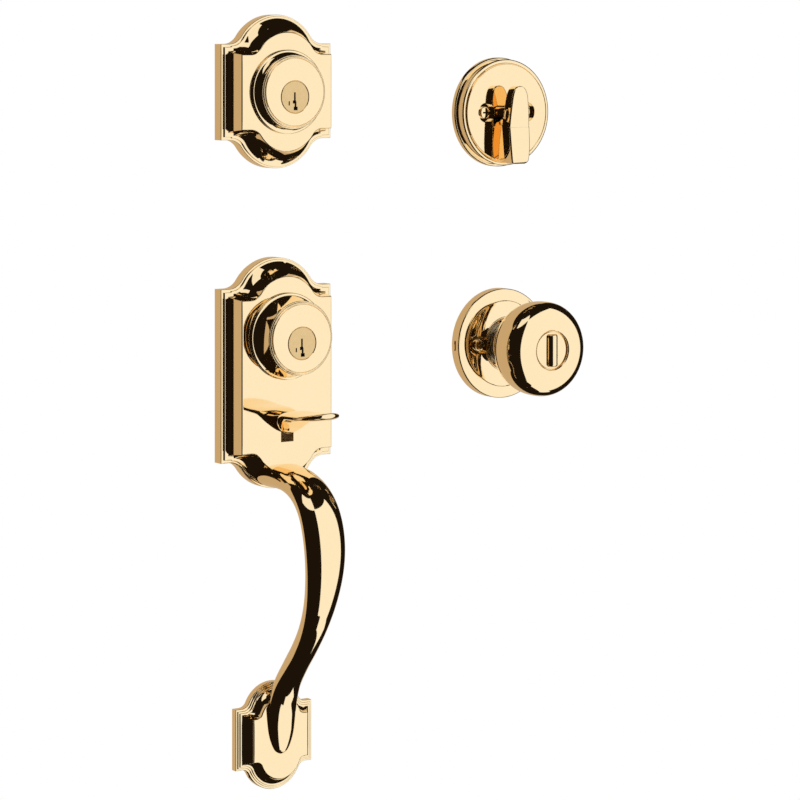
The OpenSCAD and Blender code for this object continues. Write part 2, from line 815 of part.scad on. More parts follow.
module deadbolt_posts() {
    color("silver") on_bolt() for (side = [-1, 1]) {
        translate([side * bolt_screw_spacing / 2, 0, -post_reach]) difference() {
            cylinder(r = post_r, h = post_reach + bolt_body_back + post_seat - 0.1);
            translate([0, 0, -cut]) cylinder(r = post_bore_r, h = post_reach + cut);
        }
    }
}

// Nodes of the keyed handle

module handle_shell() {
    translate([0, drum_rise, 0])
        moulded_plate(handle_line, handle_flat_line, edge_band, plate_depth);
    translate([0, base_y, 0]) moulded_plate(base_line, base_flat_line, base_edge_band, base_depth);
    translate([0, drum_rise, 0]) grip();
    for (side = [-1, 1]) {
        translate([side * boss_x, boss_y, chassis_front])
            cylinder(r = boss_r, h = plate_depth - chassis_front - 1);
        translate([side * (ear_x + ear_t / 2), -pivot_drop, pivot_out + (plate_depth - 1 - pivot_out) / 2])
            cube([ear_t, ear_h, plate_depth - 1 - pivot_out], center = true);
        translate([side * (ear_x + ear_t / 2), -pivot_drop, pivot_out]) rotate([0, 90, 0])
            cylinder(r = ear_h / 2, h = ear_t, center = true, $fn = 24);
    }
    translate([0, base_y, 2]) cylinder(r = stud_boss_r, h = base_depth - 3);
}

module handle_casting() {
    color("#e6bf73") on_entry() difference() {
        handle_shell();
        translate([0, drum_rise, -cut]) cylinder(r = drum_hole_r, h = plate_depth + 2 * cut);
        translate([-slot_w / 2, -slot_top - slot_len, plate_depth - 2 * casting_wall])
            cube([slot_w, slot_len, 3 * casting_wall]);
        for (side = [-1, 1]) {
            translate([side * boss_x, boss_y, chassis_front - cut])
                cylinder(r = small_screw_r + 0.05, h = small_screw_len + cut, $fn = 32);
        }
        translate([0, -pivot_drop, pivot_out]) rotate([0, 90, 0])
            cylinder(r = pivot_r + 0.03, h = 4 * (ear_x + ear_t), center = true, $fn = 48);
        translate([0, base_y, -cut]) cylinder(r = stud_seat_r + seat_play, h = base_depth - casting_wall + cut, $fn = 48);
    }
}

module entry_cylinder_body() {
    color("#e6bf73") on_entry()
        cylinder_body(entry_foot_r, entry_drum_out, entry_body_back, 0, true);
}

module entry_plug() {
    color("#c8a55e") on_entry() plug(entry_face, entry_body_back);
}

module entry_key_followers() {
    color("#b98e45") on_entry() key_followers(entry_face);
}

module entry_follower_springs() {
    color("silver") on_entry() follower_springs(entry_face);
}

module entry_spring_cover() {
    color("#b98e45") on_entry() spring_cover(entry_face);
}

module entry_code_wafers() {
    color("#b9b9b4") on_entry() code_wafers(entry_face);
}

module entry_side_bar() {
    color("#b98e45") on_entry() side_bar(entry_face);
}

module entry_plug_clip() {
    color("silver") on_entry() plug_clip(entry_body_back);
}

module entry_torque_blade() {
    color("#b9b9b4") on_entry() torque_blade(entry_body_back);
}

module entry_posts() {
    color("silver") on_entry() for (side = [-1, 1]) {
        translate([side * entry_screw_spacing / 2, 0, 0]) difference() {
            union() {
                translate([0, 0, -post_reach]) cylinder(r = post_r, h = post_reach + chassis_back);
                translate([0, 0, -join]) cylinder(r = rivet_r, h = chassis_front + 2 * join);
                translate([0, 0, chassis_front]) cylinder(r = rivet_head_r, h = rivet_head_t);
            }
            translate([0, 0, -post_reach - cut]) cylinder(r = post_bore_r, h = post_reach + cut);
        }
    }
}

module chassis_plate() {
    color("#c9c8c2") on_entry() difference() {
        union() {
            translate([-chassis_half_w, chassis_low, chassis_back])
                cube([2 * chassis_half_w, chassis_top - chassis_low, chassis_t]);
            translate([spring_x - spring_ear_w / 2, spring_seat, chassis_back])
                cube([spring_ear_w, spring_ear_t, slider_mid + spring_coil_r]);
            translate([slider_left - moving_gap - guide_t, guide_low, chassis_back])
                cube([guide_t, guide_len, slider_front - chassis_back]);
            translate([slider_right + moving_gap, guide_low, chassis_back])
                cube([guide_t, guide_len, slider_front - chassis_back]);
        }
        translate([0, 0, chassis_back - cut]) cylinder(r = journal_r + running_play, h = chassis_t + 2 * cut);
        for (side = [-1, 1]) {
            translate([side * entry_screw_spacing / 2, 0, chassis_back - cut])
                cylinder(r = rivet_r + 0.03, h = chassis_t + 2 * cut);
            translate([side * foot_x, foot_y, chassis_back - cut])
                cylinder(r = small_screw_r + 0.1, h = chassis_t + 2 * cut);
            translate([side * boss_x, boss_y, chassis_back - cut])
                cylinder(r = small_screw_r + 0.1, h = chassis_t + 2 * cut);
        }
    }
}

module chassis_screw() {
    translate([0, 0, chassis_back]) cylinder(r = small_screw_r, h = chassis_t + small_screw_len - 0.5);
    difference() {
        translate([0, 0, chassis_back - small_head_t]) cylinder(r = small_head_r, h = small_head_t);
        translate([0, 0, chassis_back - small_head_t]) cube([3.4, 0.8, 1.2], center = true);
        translate([0, 0, chassis_back - small_head_t]) cube([0.8, 3.4, 1.2], center = true);
    }
}

module chassis_screws() {
    color("silver") on_entry() for (side = [-1, 1]) {
        translate([side * foot_x, foot_y, 0]) chassis_screw();
        translate([side * boss_x, boss_y, 0]) chassis_screw();
    }
}

// Sections of the thumb piece from its root to its tip: distance out of the flat face, height of its
// middle above the pivot, half width, half thickness
rest_stations = [
    [-4.0, 0.4, 3.5, 3.4], [1.5, 1.2, 3.6, 4.0], [5.5, 2.6, 4.8, 4.2], [10, 4.8, 7.4, 3.5],
    [15, 6.4, 10.2, 2.7], [21, 7.2, 12.0, 2.3], [27, 7.7, rest_half_w, 2.2], [34, 8.4, 12.2, 2.2],
    [39, 9.2, 10.2, 2.1], [42.2, 9.8, 7.2, 1.8], [rest_out, 10.2, 3.4, 1.2]
];

function rest_ring(s) =
    [for (p = oval(s[2], s[3], 0.8, 20)) [p[0], s[1] + p[1], plate_depth + s[0]]];

module thumb_piece() {
    neck_half_w = 3.5;
    color("#e6bf73") on_entry() translate([0, -pivot_drop, 0]) difference() {
        union() {
            lofted([for (s = rest_stations) rest_ring(s)]);
            translate([0, 0, pivot_out]) rotate([0, 90, 0])
                cylinder(r = 3.2, h = 2 * neck_half_w, center = true, $fn = 32);
            hull() {
                translate([0, 0, pivot_out]) rotate([0, 90, 0])
                    cylinder(r = 2.6, h = 2 * neck_half_w, center = true, $fn = 32);
                translate([0, 0, plate_depth - 3.5]) cube([2 * neck_half_w, 6, 1], center = true);
            }
            hull() {
                translate([0, 0, pivot_out]) rotate([0, 90, 0])
                    cylinder(r = 2.6, h = 2 * neck_half_w, center = true, $fn = 32);
                translate([0, -nose_arm * sin(nose_start), pivot_out - nose_arm * cos(nose_start)])
                    rotate([0, 90, 0]) cylinder(r = nose_r, h = 2 * neck_half_w, center = true, $fn = 32);
            }
        }
        translate([0, 0, pivot_out]) rotate([0, 90, 0])
            cylinder(r = pivot_r + 0.08, h = 3 * neck_half_w, center = true, $fn = 64);
    }
}

module thumb_pivot_pin() {
    color("silver") on_entry() translate([0, -pivot_drop, pivot_out]) rotate([0, 90, 0])
        cylinder(r = pivot_r, h = 2 * (ear_x + ear_t) + 0.6, center = true);
}

module lift_slider() {
    foot = -pivot_drop - nose_arm * sin(nose_start) + nose_r + nose_gap;
    bar_left = blade_r + 1;
    shelf = -16;
    slot_half = crank_pin_r + moving_gap;
    slot_mid = -crank_r * sin(crank_start);
    color("#c9c8c2") on_entry() difference() {
        union() {
            translate([bar_left, shelf, slider_back])
                cube([slider_right - bar_left, slider_top - shelf, slider_t]);
            translate([slider_left, foot, slider_back])
                cube([slider_right - slider_left, shelf - foot + join, slider_t]);
            translate([spring_x, slider_top - join, slider_mid]) rotate([-90, 0, 0])
                cylinder(r = slider_t / 2 - 0.05, h = 4, $fn = 24);
        }
        translate([0, slot_mid - slot_half, slider_back - cut])
            cube([crank_r + crank_pin_r + moving_gap + 0.3, 2 * slot_half, slider_t + 2 * cut]);
    }
}

module slider_spring() {
    color("silver") on_entry() translate([spring_x, slider_top + 0.05, slider_mid]) rotate([-90, 0, 0])
        coil(spring_coil_r, spring_wire_r, slider_spring_len - 0.1, 5);
}

module spindle_hub() {
    color("#c9c8c2") on_entry() difference() {
        union() {
            translate([0, 0, hub_back]) cylinder(r = hub_r, h = hub_t);
            translate([0, 0, -tube_reach]) cylinder(r = tube_r, h = tube_reach + join);
            cylinder(r = journal_r, h = hub_back + join);
            rotate([0, 0, -crank_start]) translate([crank_r, 0, hub_front - join])
                cylinder(r = crank_pin_r, h = slider_front - hub_front);
        }
        translate([0, 0, -tube_reach - cut]) cylinder(r = tube_bore_r, h = tube_reach + hub_front + 2 * cut);
    }
}

module base_stud() {
    color("silver") on_entry() translate([0, base_y, 0]) {
        translate([0, 0, -stud_reach]) cylinder(r = stud_r, h = stud_reach);
        translate([0, 0, -join]) cylinder(r = stud_seat_r, h = base_depth - casting_wall - 0.4 + join);
    }
}

// Nodes of the inside turn

// Section of the turn's rosette: foot band, bead, hollow, upper bead and flat face
module turn_rosette_section() {
    bead = 1;
    waist = rosette_r - 1.6;
    difference() {
        union() {
            square([rosette_r - bead, 3.2]);
            square([rosette_r, 2.2]);
            translate([rosette_r - bead, 2.2]) circle(r = bead);
            square([waist, turn_face_out - 1.4]);
            translate([waist - 0.4, turn_face_out - 2]) circle(r = bead);
            square([turn_face_r, turn_face_out]);
        }
        translate([0, -cut]) square([waist - sheet_t, turn_face_out - sheet_t + cut]);
    }
}

module turn_rosette() {
    cup_wall = 1.2;
    color("#e6bf73") on_turn() difference() {
        union() {
            rotate_extrude() turn_rosette_section();
            for (side = [-1, 1]) {
                translate([side * bolt_screw_spacing / 2, 0, turn_face_out - turn_recess_depth - cup_wall])
                    cylinder(r = turn_recess_r + cup_wall, h = turn_recess_depth + cup_wall - 0.5);
            }
        }
        translate([0, 0, -cut]) cylinder(r = turn_shaft_r + 0.06, h = turn_face_out + 2 * cut);
        for (side = [-1, 1]) {
            translate([side * bolt_screw_spacing / 2, 0, turn_face_out - turn_recess_depth])
                cylinder(r = turn_recess_r, h = turn_recess_depth + cut);
            translate([side * bolt_screw_spacing / 2, 0, -cut])
                cylinder(r = screw_r + 0.25, h = turn_face_out + cut);
        }
    }
}

module turn_backing_plate() {
    color("silver") on_turn() difference() {
        translate([0, 0, chassis_back]) cylinder(r = backing_r, h = chassis_t);
        translate([0, 0, -cut]) cylinder(r = turn_shaft_r + 1.4, h = chassis_front + 2 * cut);
        for (side = [-1, 1]) {
            translate([side * bolt_screw_spacing / 2, 0, -cut])
                cylinder(r = screw_r + 0.25, h = chassis_front + 2 * cut);
        }
    }
}

// Sections of the turn piece from top to bottom: height, half width, distance of its front behind
// the foremost plane, share of the full depth
turn_stations = [
    [turn_up, 1.2, 0.5, 0.72], [turn_up - 0.4, 2.4, 0.3, 0.78], [turn_up - 1.2, 3.5, 0.15, 0.82],
    [turn_up - 2.6, 4.5, 0.05, 0.85], [turn_up - 5, 5.4, 0, 0.88], [turn_up - 8, 6.0, 0.1, 0.9],
    [0, 6.9, 0.6, 0.94], [-8.6, turn_half_w, 1.2, 1],
    [-10, turn_half_w, 0.9, 1], [-20, turn_half_w - 0.3, 0.1, 1], [-turn_down + 3, turn_half_w - 1, 0, 1],
    [-turn_down + 0.9, turn_half_w - 1.8, 0.5, 0.94], [-turn_down, turn_half_w - 3, 1.4, 0.8]
];

// Ring of the turn piece: a rectangle with rounded corners, level across the piece
function turn_ring(s) =
    let (
        deep = turn_depth * s[3] / 2,
        corner = min(turn_corner, s[1] * 0.4),
        middle = turn_front - s[2] - deep,
        flat = [for (k = [0:3]) each concat(
            [[quarter_x(k) * (s[1] - corner), quarter_y(k) * (deep - corner)]
                + corner * [cos(90 * k), sin(90 * k)]],
            arc([quarter_x(k) * (s[1] - corner), quarter_y(k) * (deep - corner)], corner,
                90 * k, 90 * k + 90, turn_corner_steps)
        )]
    ) [for (p = flat) [p[0], s[0], middle + p[1]]];

function quarter_x(k) = k == 0 || k == 3 ? 1 : -1;
function quarter_y(k) = k < 2 ? 1 : -1;

module thumb_turn() {
    shaft_end = chassis_front + 0.6;
    slot_half = 3.2;
    color("#e6bf73") on_turn() difference() {
        union() {
            lofted([for (s = turn_stations) turn_ring(s)]);
            translate([0, 0, shaft_end])
                cylinder(r = turn_shaft_r, h = turn_front - turn_depth + 2 - shaft_end, $fn = 96);
        }
        translate([0, 0, turn_clip_z - 0.1]) difference() {
            cylinder(r = turn_shaft_r + cut, h = clip_t + 0.2);
            translate([0, 0, -cut]) cylinder(r = turn_shaft_r - 1, h = clip_t + 0.2 + 2 * cut);
        }
        translate([0, 0, shaft_end - cut]) linear_extrude(9)
            square([2 * slot_half, 2.2], center = true);
    }
}

module turn_washer() {
    from = turn_clip_z + clip_t + 0.1;
    color("silver") on_turn() translate([0, 0, from]) difference() {
        cylinder(r = 7.6, h = turn_face_out - sheet_t - from - 0.1);
        translate([0, 0, -cut]) cylinder(r = turn_shaft_r + 0.3, h = 5);
    }
}

module turn_clip() {
    color("silver") on_turn() snap_ring(turn_shaft_r - 1, turn_shaft_r + 2.2, clip_t, turn_clip_z);
}

// Through screw: thread into the door, plain neck through the plates and an oval head with a cross
// recess, seated at height seat
module through_screw(seat) {
    head_h = 1.9;
    translate([0, 0, -screw_reach]) cylinder(r = screw_r, h = screw_reach - neck_start);
    translate([0, 0, -neck_start - join]) cylinder(r = screw_r - neck_relief, h = neck_start + seat + 2 * join);
    translate([0, 0, seat]) difference() {
        union() {
            cylinder(r = screw_head_r, h = head_h - 0.7);
            translate([0, 0, head_h - 0.7]) cylinder(r1 = screw_head_r, r2 = screw_head_r - 1.2, h = 0.7);
        }
        translate([0, 0, head_h]) cube([4.2, 1, 2.2], center = true);
        translate([0, 0, head_h]) cube([1, 4.2, 2.2], center = true);
    }
}

module turn_screws() {
    color("#e6bf73") on_turn() for (side = [-1, 1]) {
        translate([side * bolt_screw_spacing / 2, 0, 0])
            through_screw(turn_face_out - turn_recess_depth + 0.02);
    }
}

// Nodes of the inside knob

// Section of the knob's rosette: rim band, nearly flat ring, step, shallow cone and hub ring
module knob_rosette_section() {
    step = 0.5;
    difference() {
        polygon([[0, 0], [rosette_r, 0], [rosette_r, knob_rim - 0.8], [rosette_r - 0.25, knob_rim - 0.25],
            [rosette_r - 0.9, knob_rim], [bevel_r + 1, bevel_out - 0.35], [bevel_r + 0.3, bevel_out],
            [bevel_r, bevel_out], [bevel_r - step, bevel_out - step],
            [hub_ring_r + 3, hub_ring_out - 1], [hub_ring_r, hub_ring_out],
            [hub_ring_r - 1, hub_ring_out + 0.4], [hub_ring_r - 1.6, hub_ring_out], [0, hub_ring_out]]);
        polygon([[0, -cut], [rosette_r - sheet_t, -cut], [rosette_r - sheet_t, knob_rim - 1.6],
            [hub_ring_r, hub_ring_out - 1.9], [0, hub_ring_out - 1.9]]);
    }
}

module knob_rosette() {
    cup_wall = 1.2;
    pry_w = 6;
    pry_h = 1.6;
    color("#e6bf73") on_knob() difference() {
        union() {
            rotate_extrude() knob_rosette_section();
            for (side = [-1, 1]) {
                translate([side * entry_screw_spacing / 2, 0, knob_seat - cup_wall])
                    cylinder(r = knob_recess_r + cup_wall, h = cup_wall + 1);
            }
        }
        translate([0, 0, -cut]) cylinder(r = guide_r + 0.2, h = hub_ring_out + 2 * cut + 1);
        for (side = [-1, 1]) {
            translate([side * entry_screw_spacing / 2, 0, knob_seat])
                cylinder(r = knob_recess_r, h = hub_ring_out);
            translate([side * entry_screw_spacing / 2, 0, -cut])
                cylinder(r = screw_r + 0.25, h = hub_ring_out);
        }
        translate([-rosette_r - cut, -pry_w / 2, knob_rim - 4.4]) cube([sheet_t + 2 * cut, pry_w, pry_h]);
    }
}

module knob_chassis() {
    color("#c9c8c2") on_knob() difference() {
        union() {
            translate([0, 0, chassis_back]) cylinder(r = knob_plate_r, h = chassis_t);
            translate([0, 0, chassis_back]) cylinder(r = guide_r, h = guide_out - chassis_back);
        }
        translate([0, 0, knob_clip_z + clip_t + 0.2])
            cylinder(r = shank_r + running_play, h = guide_out + cut);
        translate([0, 0, -cut]) cylinder(r = shank_r + 1.6, h = knob_clip_z + clip_t + 0.2 + cut);
        for (side = [-1, 1]) {
            translate([side * entry_screw_spacing / 2, 0, -cut])
                cylinder(r = screw_r + 0.25, h = chassis_front + 2 * cut);
        }
    }
}

module knob_return_spring() {
    color("silver") on_knob() translate([0, 0, chassis_front + 0.1])
        coil(knob_coil_r, knob_wire_r, knob_coil_len, 3);
}

// Section of the knob: collar, flared back, band, rounded shoulder and a gently domed front
module knob_section(shrink) {
    collar_r = 20;
    collar_z = 24.6;
    shoulder = 9;
    lean = 80;
    band_r = knob_r - shrink;
    band_end = knob_band_out + knob_band_w;
    bend_r = shoulder - shrink / 2;
    edge_r = band_r - shoulder + bend_r * cos(lean);
    edge_z = band_end + bend_r * sin(lean);
    polygon(concat(
        [[0, collar_z - 2.6 + shrink], [collar_r - 4.6 - shrink, collar_z - 2.6 + shrink]],
        arc([collar_r - 1.6 - shrink, collar_z], 1.6, 240, 440, 6),
        [[collar_r - 1.7 - shrink, collar_z + 2.2], [collar_r + 0.6 - shrink, collar_z + 4.4]],
        [for (a = [15:15:75])
            [collar_r + 0.6 - shrink + (knob_r - collar_r - 0.6) * sin(a),
                knob_band_out - 0.4 - (knob_band_out - 4.8 - collar_z) * cos(a)]],
        [[band_r, knob_band_out], [band_r, band_end]],
        arc([band_r - shoulder, band_end], bend_r, 0, lean, 8),
        [for (k = [1:6]) let (r = edge_r * (1 - k / 6))
            [r, edge_z + (knob_front - shrink - edge_z) * (1 - pow(r / edge_r, 2))]]
    ));
}

module knob_shell() {
    floor_z = knob_front - recess_depth;
    color("#e6bf73") on_knob() difference() {
        rotate_extrude() knob_section(0);
        difference() {
            rotate_extrude() knob_section(knob_wall);
            translate([0, 0, floor_z - knob_wall]) cylinder(r = recess_r + knob_wall, h = 20);
            cylinder(r = shank_r + 2.2, h = knob_band_out);
        }
        translate([0, 0, floor_z]) cylinder(r = recess_r, h = 20);
        cylinder(r = shank_r + 0.04, h = knob_band_out + cut);
        translate([0, 0, knob_band_out]) cylinder(r = button_stem_r + 0.4, h = 30);
    }
}

module knob_shank() {
    color("#c9c8c2") on_knob() difference() {
        translate([0, 0, shank_back]) cylinder(r = shank_r, h = knob_band_out - shank_back);
        translate([0, 0, shank_back - cut]) cylinder(r = shank_bore_r, h = knob_band_out);
        translate([0, 0, knob_clip_z - 0.1]) difference() {
            cylinder(r = shank_r + cut, h = clip_t + 0.2);
            translate([0, 0, -cut]) cylinder(r = shank_r - 1.2, h = clip_t + 0.2 + 2 * cut);
        }
    }
}

module knob_spindle() {
    color("#b9b9b4") on_knob() difference() {
        union() {
            translate([0, 0, spindle_disc_z]) cylinder(r = shank_bore_r - seat_play, h = spindle_disc_t);
            translate([-spindle_half_w, -spindle_half_w, -tube_reach])
                cube([2 * spindle_half_w, 2 * spindle_half_w, tube_reach + spindle_disc_z + join]);
        }
        translate([0, 0, -tube_reach - cut])
            cylinder(r = spindle_bore_r, h = tube_reach + spindle_disc_z + spindle_disc_t + 2 * cut);
    }
}

module knob_clip() {
    color("silver") on_knob() snap_ring(shank_r - 1.2, shank_r + 1.3, clip_t, knob_clip_z);
}

module turn_button() {
    floor_z = knob_front - recess_depth;
    disc_t = 1.2;
    color("#e6bf73") on_knob() difference() {
        union() {
            translate([0, 0, floor_z + 0.1]) cylinder(r = button_disc_r, h = disc_t);
            translate([0, 0, floor_z + disc_t]) intersection() {
                cylinder(r = button_bar_len / 2, h = button_bar_t);
                rotate([90, 0, 0]) cylinder(r = button_bar_t / 2, h = button_bar_len, center = true);
            }
            translate([0, 0, floor_z - 6]) cylinder(r = button_stem_r + 0.2, h = 6.2);
        }
        translate([0, 0, floor_z - 6 - cut]) blade_socket(5 + cut);
    }
}

module blade_socket(depth) {
    translate([-1.15, -1.15, 0]) cube([2.3, 2.3, depth]);
}

module button_stem() {
    floor_z = knob_front - recess_depth;
    color("#b9b9b4") on_knob() translate([-1.1, -1.1, -blade_reach])
        cube([2.2, 2.2, blade_reach + floor_z - 1.4]);
}

module button_clip() {
    floor_z = knob_front - recess_depth;
    color("silver") on_knob() translate([0, 0, floor_z - knob_wall - 1.2]) difference() {
        cylinder(r = button_stem_r + 2.6, h = 0.8);
        translate([0, 0, -cut]) cylinder(r = button_stem_r + 0.25, h = 4);
    }
}

module knob_screws() {
    color("#e6bf73") on_knob() for (side = [-1, 1]) {
        translate([side * entry_screw_spacing / 2, 0, 0]) through_screw(knob_seat + 0.02);
    }
}

deadbolt_rosette();
deadbolt_cylinder_body();
deadbolt_plug();
deadbolt_key_followers();
deadbolt_follower_springs();
deadbolt_spring_cover();
deadbolt_code_wafers();
deadbolt_side_bar();
deadbolt_plug_clip();
deadbolt_torque_blade();
deadbolt_posts();
handle_casting();
entry_cylinder_body();
entry_plug();
entry_key_followers();
entry_follower_springs();
entry_spring_cover();
entry_code_wafers();
entry_side_bar();
entry_plug_clip();
entry_torque_blade();
entry_posts();
chassis_plate();
chassis_screws();
thumb_piece();
thumb_pivot_pin();
lift_slider();
slider_spring();
spindle_hub();
base_stud();
turn_rosette();
turn_backing_plate();
thumb_turn();
turn_washer();
turn_clip();
turn_screws();
knob_rosette();
knob_chassis();
knob_return_spring();
knob_shell();
knob_shank();
knob_clip();
knob_spindle();
turn_button();
button_stem();
button_clip();
knob_screws();
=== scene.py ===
"""Looks of an entry door handleset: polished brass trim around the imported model, lit as on a studio table."""

import enum
import json
import logging
import math
from dataclasses import dataclass, field
from typing import Callable, Iterable, Sequence

import bmesh
import bpy
from mathutils import Matrix, Vector


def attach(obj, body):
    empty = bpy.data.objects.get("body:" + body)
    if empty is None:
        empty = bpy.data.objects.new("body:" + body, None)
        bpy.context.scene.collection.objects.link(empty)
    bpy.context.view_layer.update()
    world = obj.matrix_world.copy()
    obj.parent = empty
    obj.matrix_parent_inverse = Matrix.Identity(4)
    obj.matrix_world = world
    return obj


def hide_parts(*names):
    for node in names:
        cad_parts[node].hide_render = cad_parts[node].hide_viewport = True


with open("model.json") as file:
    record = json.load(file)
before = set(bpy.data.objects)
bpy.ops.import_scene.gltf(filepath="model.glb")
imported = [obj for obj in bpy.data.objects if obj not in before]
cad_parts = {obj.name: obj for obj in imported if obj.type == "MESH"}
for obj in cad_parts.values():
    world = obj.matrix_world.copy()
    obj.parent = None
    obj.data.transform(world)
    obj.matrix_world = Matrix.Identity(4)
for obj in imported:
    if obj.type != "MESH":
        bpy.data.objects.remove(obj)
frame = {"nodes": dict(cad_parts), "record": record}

LOG = logging.getLogger("handleset")
MM = 0.001
Point = tuple[float, float, float]
Flat = tuple[float, float]


class Slot(enum.Enum):
    """Finishes that the pieces take, by the record's slot names."""

    POLISHED = "polished_brass"
    SATIN = "satin_brass"
    SPRING = "spring_steel"
    ZINC = "zinc_steel"


class Body(enum.Enum):
    """Bodies that a piece can ride on."""

    FIXED = "door_side"
    DEADBOLT_PLUG = "deadbolt_plug_set"
    ENTRY_PLUG = "entry_plug_set"
    THUMB = "thumb"
    TURN = "turn"
    KNOB = "knob"
    BUTTON = "button"


class Moulding(enum.Enum):
    """Shapes that a cast plate's moulding takes between its small steps and its face."""

    WALLED = "small hollow under a tall wall"
    HOLLOW = "one broad hollow"


# ---------------------------------------------------------------- places


@dataclass(frozen=True)
class Place:
    """Where one assembly stands on the door, in millimetres.

    Attributes:
        x: Distance to the right of the handle's plug axis.
        z: Height above that axis.
    """

    x: float
    z: float

    def world(self, p: Sequence[float]) -> Vector:
        """Turns a point of the assembly's frame (right, up, out of the door) into metres in the scene."""
        return Vector(((self.x + p[0]) * MM, -p[2] * MM, (self.z + p[1]) * MM))


ON_BOLT = Place(0.0, 139.7)
ON_ENTRY = Place(0.0, 0.0)
ON_TURN = Place(161.0, 128.1)
ON_KNOB = Place(161.0, -11.6)
DRUM_RISE = 2.8


# ---------------------------------------------------------------- finishes


class Nodes:
    """Small helper that adds nodes to one material's tree."""

    def __init__(self, name: str) -> None:
        """Starts an empty material of this name.

        Args:
            name: The material's name.
        """
        self.material = bpy.data.materials.new(name)
        self.material.use_nodes = True
        self.tree = self.material.node_tree
        self.tree.nodes.clear()

    def add(self, kind: str, **values: object) -> bpy.types.Node:
        """Adds a node and sets its properties and unlinked sockets.

        Args:
            kind: The node's type.
            **values: Properties by name, or socket values by name with spaces as underscores.

        Returns:
            The new node.
        """
        node = self.tree.nodes.new(kind)
        for key, value in values.items():
            label = key.replace("_", " ").title()
            if hasattr(node, key) and key not in node.inputs:
                setattr(node, key, value)
            elif label in node.inputs:
                node.inputs[label].default_value = value
            else:
                node.inputs[key].default_value = value
        return node

    def link(self, source: bpy.types.NodeSocket, target: bpy.types.NodeSocket) -> None:
        """Joins two sockets."""
        self.tree.links.new(source, target)


@dataclass(frozen=True)
class Metal:
    """A plain metal finish.

    Attributes:
        name: The material's name.
        colour: Base colour, linear.
        shade: Colour of the faint uneven patches.
        roughness: Lowest and highest roughness of the surface.
        grain: Size of the patches, in turns per metre.
        ripple: Height of the faint waves left by the finish, in metres.
        brush_centre: Point that the brushing runs round, or None for an unbrushed finish.
    """

    name: str
    colour: tuple[float, float, float]
    shade: tuple[float, float, float]
    roughness: tuple[float, float]
    grain: float = 60.0
    ripple: float = 0.00002
    brush_centre: Point | None = None

    def material(self) -> bpy.types.Material:
        """Builds the finish.

        Returns:
            The material.
        """
        nodes = Nodes(self.name)
        coords = nodes.add("ShaderNodeTexCoord")
        patches = nodes.add("ShaderNodeTexNoise", scale=self.grain, detail=4.0, roughness=0.55)
        nodes.link(coords.outputs["Object"], patches.inputs["Vector"])
        tint = nodes.add("ShaderNodeMix", data_type="RGBA")
        tint.inputs[6].default_value = (*self.colour, 1.0)
        tint.inputs[7].default_value = (*self.shade, 1.0)
        nodes.link(patches.outputs["Fac"], tint.inputs[0])
        spread = nodes.add("ShaderNodeMapRange")
        spread.inputs["To Min"].default_value = self.roughness[0]
        spread.inputs["To Max"].default_value = self.roughness[1]
        smears = nodes.add("ShaderNodeTexNoise", scale=self.grain * 2.6, detail=6.0, roughness=0.65)
        nodes.link(coords.outputs["Object"], smears.inputs["Vector"])
        nodes.link(smears.outputs["Fac"], spread.inputs["Value"])
        shader = nodes.add("ShaderNodeBsdfPrincipled", metallic=1.0)
        nodes.link(tint.outputs[2], shader.inputs["Base Color"])
        nodes.link(spread.outputs["Result"], shader.inputs["Roughness"])
        bump = nodes.add("ShaderNodeBump", strength=0.6, distance=self.ripple)
        nodes.link(self.height(nodes, coords), bump.inputs["Height"])
        nodes.link(bump.outputs["Normal"], shader.inputs["Normal"])
        out = nodes.add("ShaderNodeOutputMaterial")
        nodes.link(shader.outputs["BSDF"], out.inputs["Surface"])
        return nodes.material

    def height(self, nodes: Nodes, coords: bpy.types.Node) -> bpy.types.NodeSocket:
        """Adds the surface's fine relief.

        Args:
            nodes: The material being built.
            coords: Its coordinate node.

        Returns:
            The socket that carries the height.
        """
        if self.brush_centre is None:
            wave = nodes.add("ShaderNodeTexNoise", scale=self.grain * 1.5, detail=2.0, roughness=0.4)
            nodes.link(coords.outputs["Object"], wave.inputs["Vector"])
            return wave.outputs["Fac"]
        shift = nodes.add("ShaderNodeMapping")
        shift.inputs["Location"].default_value = tuple(-c for c in self.brush_centre)
        nodes.link(coords.outputs["Object"], shift.inputs["Vector"])
        flatten = nodes.add("ShaderNodeVectorMath", operation="MULTIPLY")
        flatten.inputs[1].default_value = (1.0, 0.0, 1.0)
        nodes.link(shift.outputs["Vector"], flatten.inputs[0])
        reach = nodes.add("ShaderNodeVectorMath", operation="LENGTH")
        nodes.link(flatten.outputs["Vector"], reach.inputs[0])
        rings = nodes.add("ShaderNodeTexNoise", noise_dimensions="1D", scale=5200.0, detail=3.0)
        nodes.link(reach.outputs["Value"], rings.inputs["W"])
        return rings.outputs["Fac"]


POLISHED = Metal("lacquered polished brass", (0.98, 0.78, 0.48), (0.96, 0.75, 0.45), (0.03, 0.055),
                 grain=30.0, ripple=0.000001)
STEEL = Metal("bright spring steel", (0.62, 0.61, 0.60), (0.48, 0.47, 0.46), (0.16, 0.3), grain=220.0)
ZINC = Metal("zinc plated steel", (0.66, 0.66, 0.65), (0.5, 0.52, 0.53), (0.3, 0.5), grain=150.0)


def satin(place: Place) -> Metal:
    """Brass turned and brushed round a plug's axis.

    Args:
        place: The assembly that the plug stands in.

    Returns:
        The finish.
    """
    centre = place.world((0.0, 0.0, 0.0))
    return Metal("satin brass " + ("above" if place.z > 0 else "below"), (0.80, 0.58, 0.30),
                 (0.72, 0.50, 0.23), (0.26, 0.36), grain=300.0, ripple=0.00003, brush_centre=tuple(centre))


# ---------------------------------------------------------------- mesh helpers


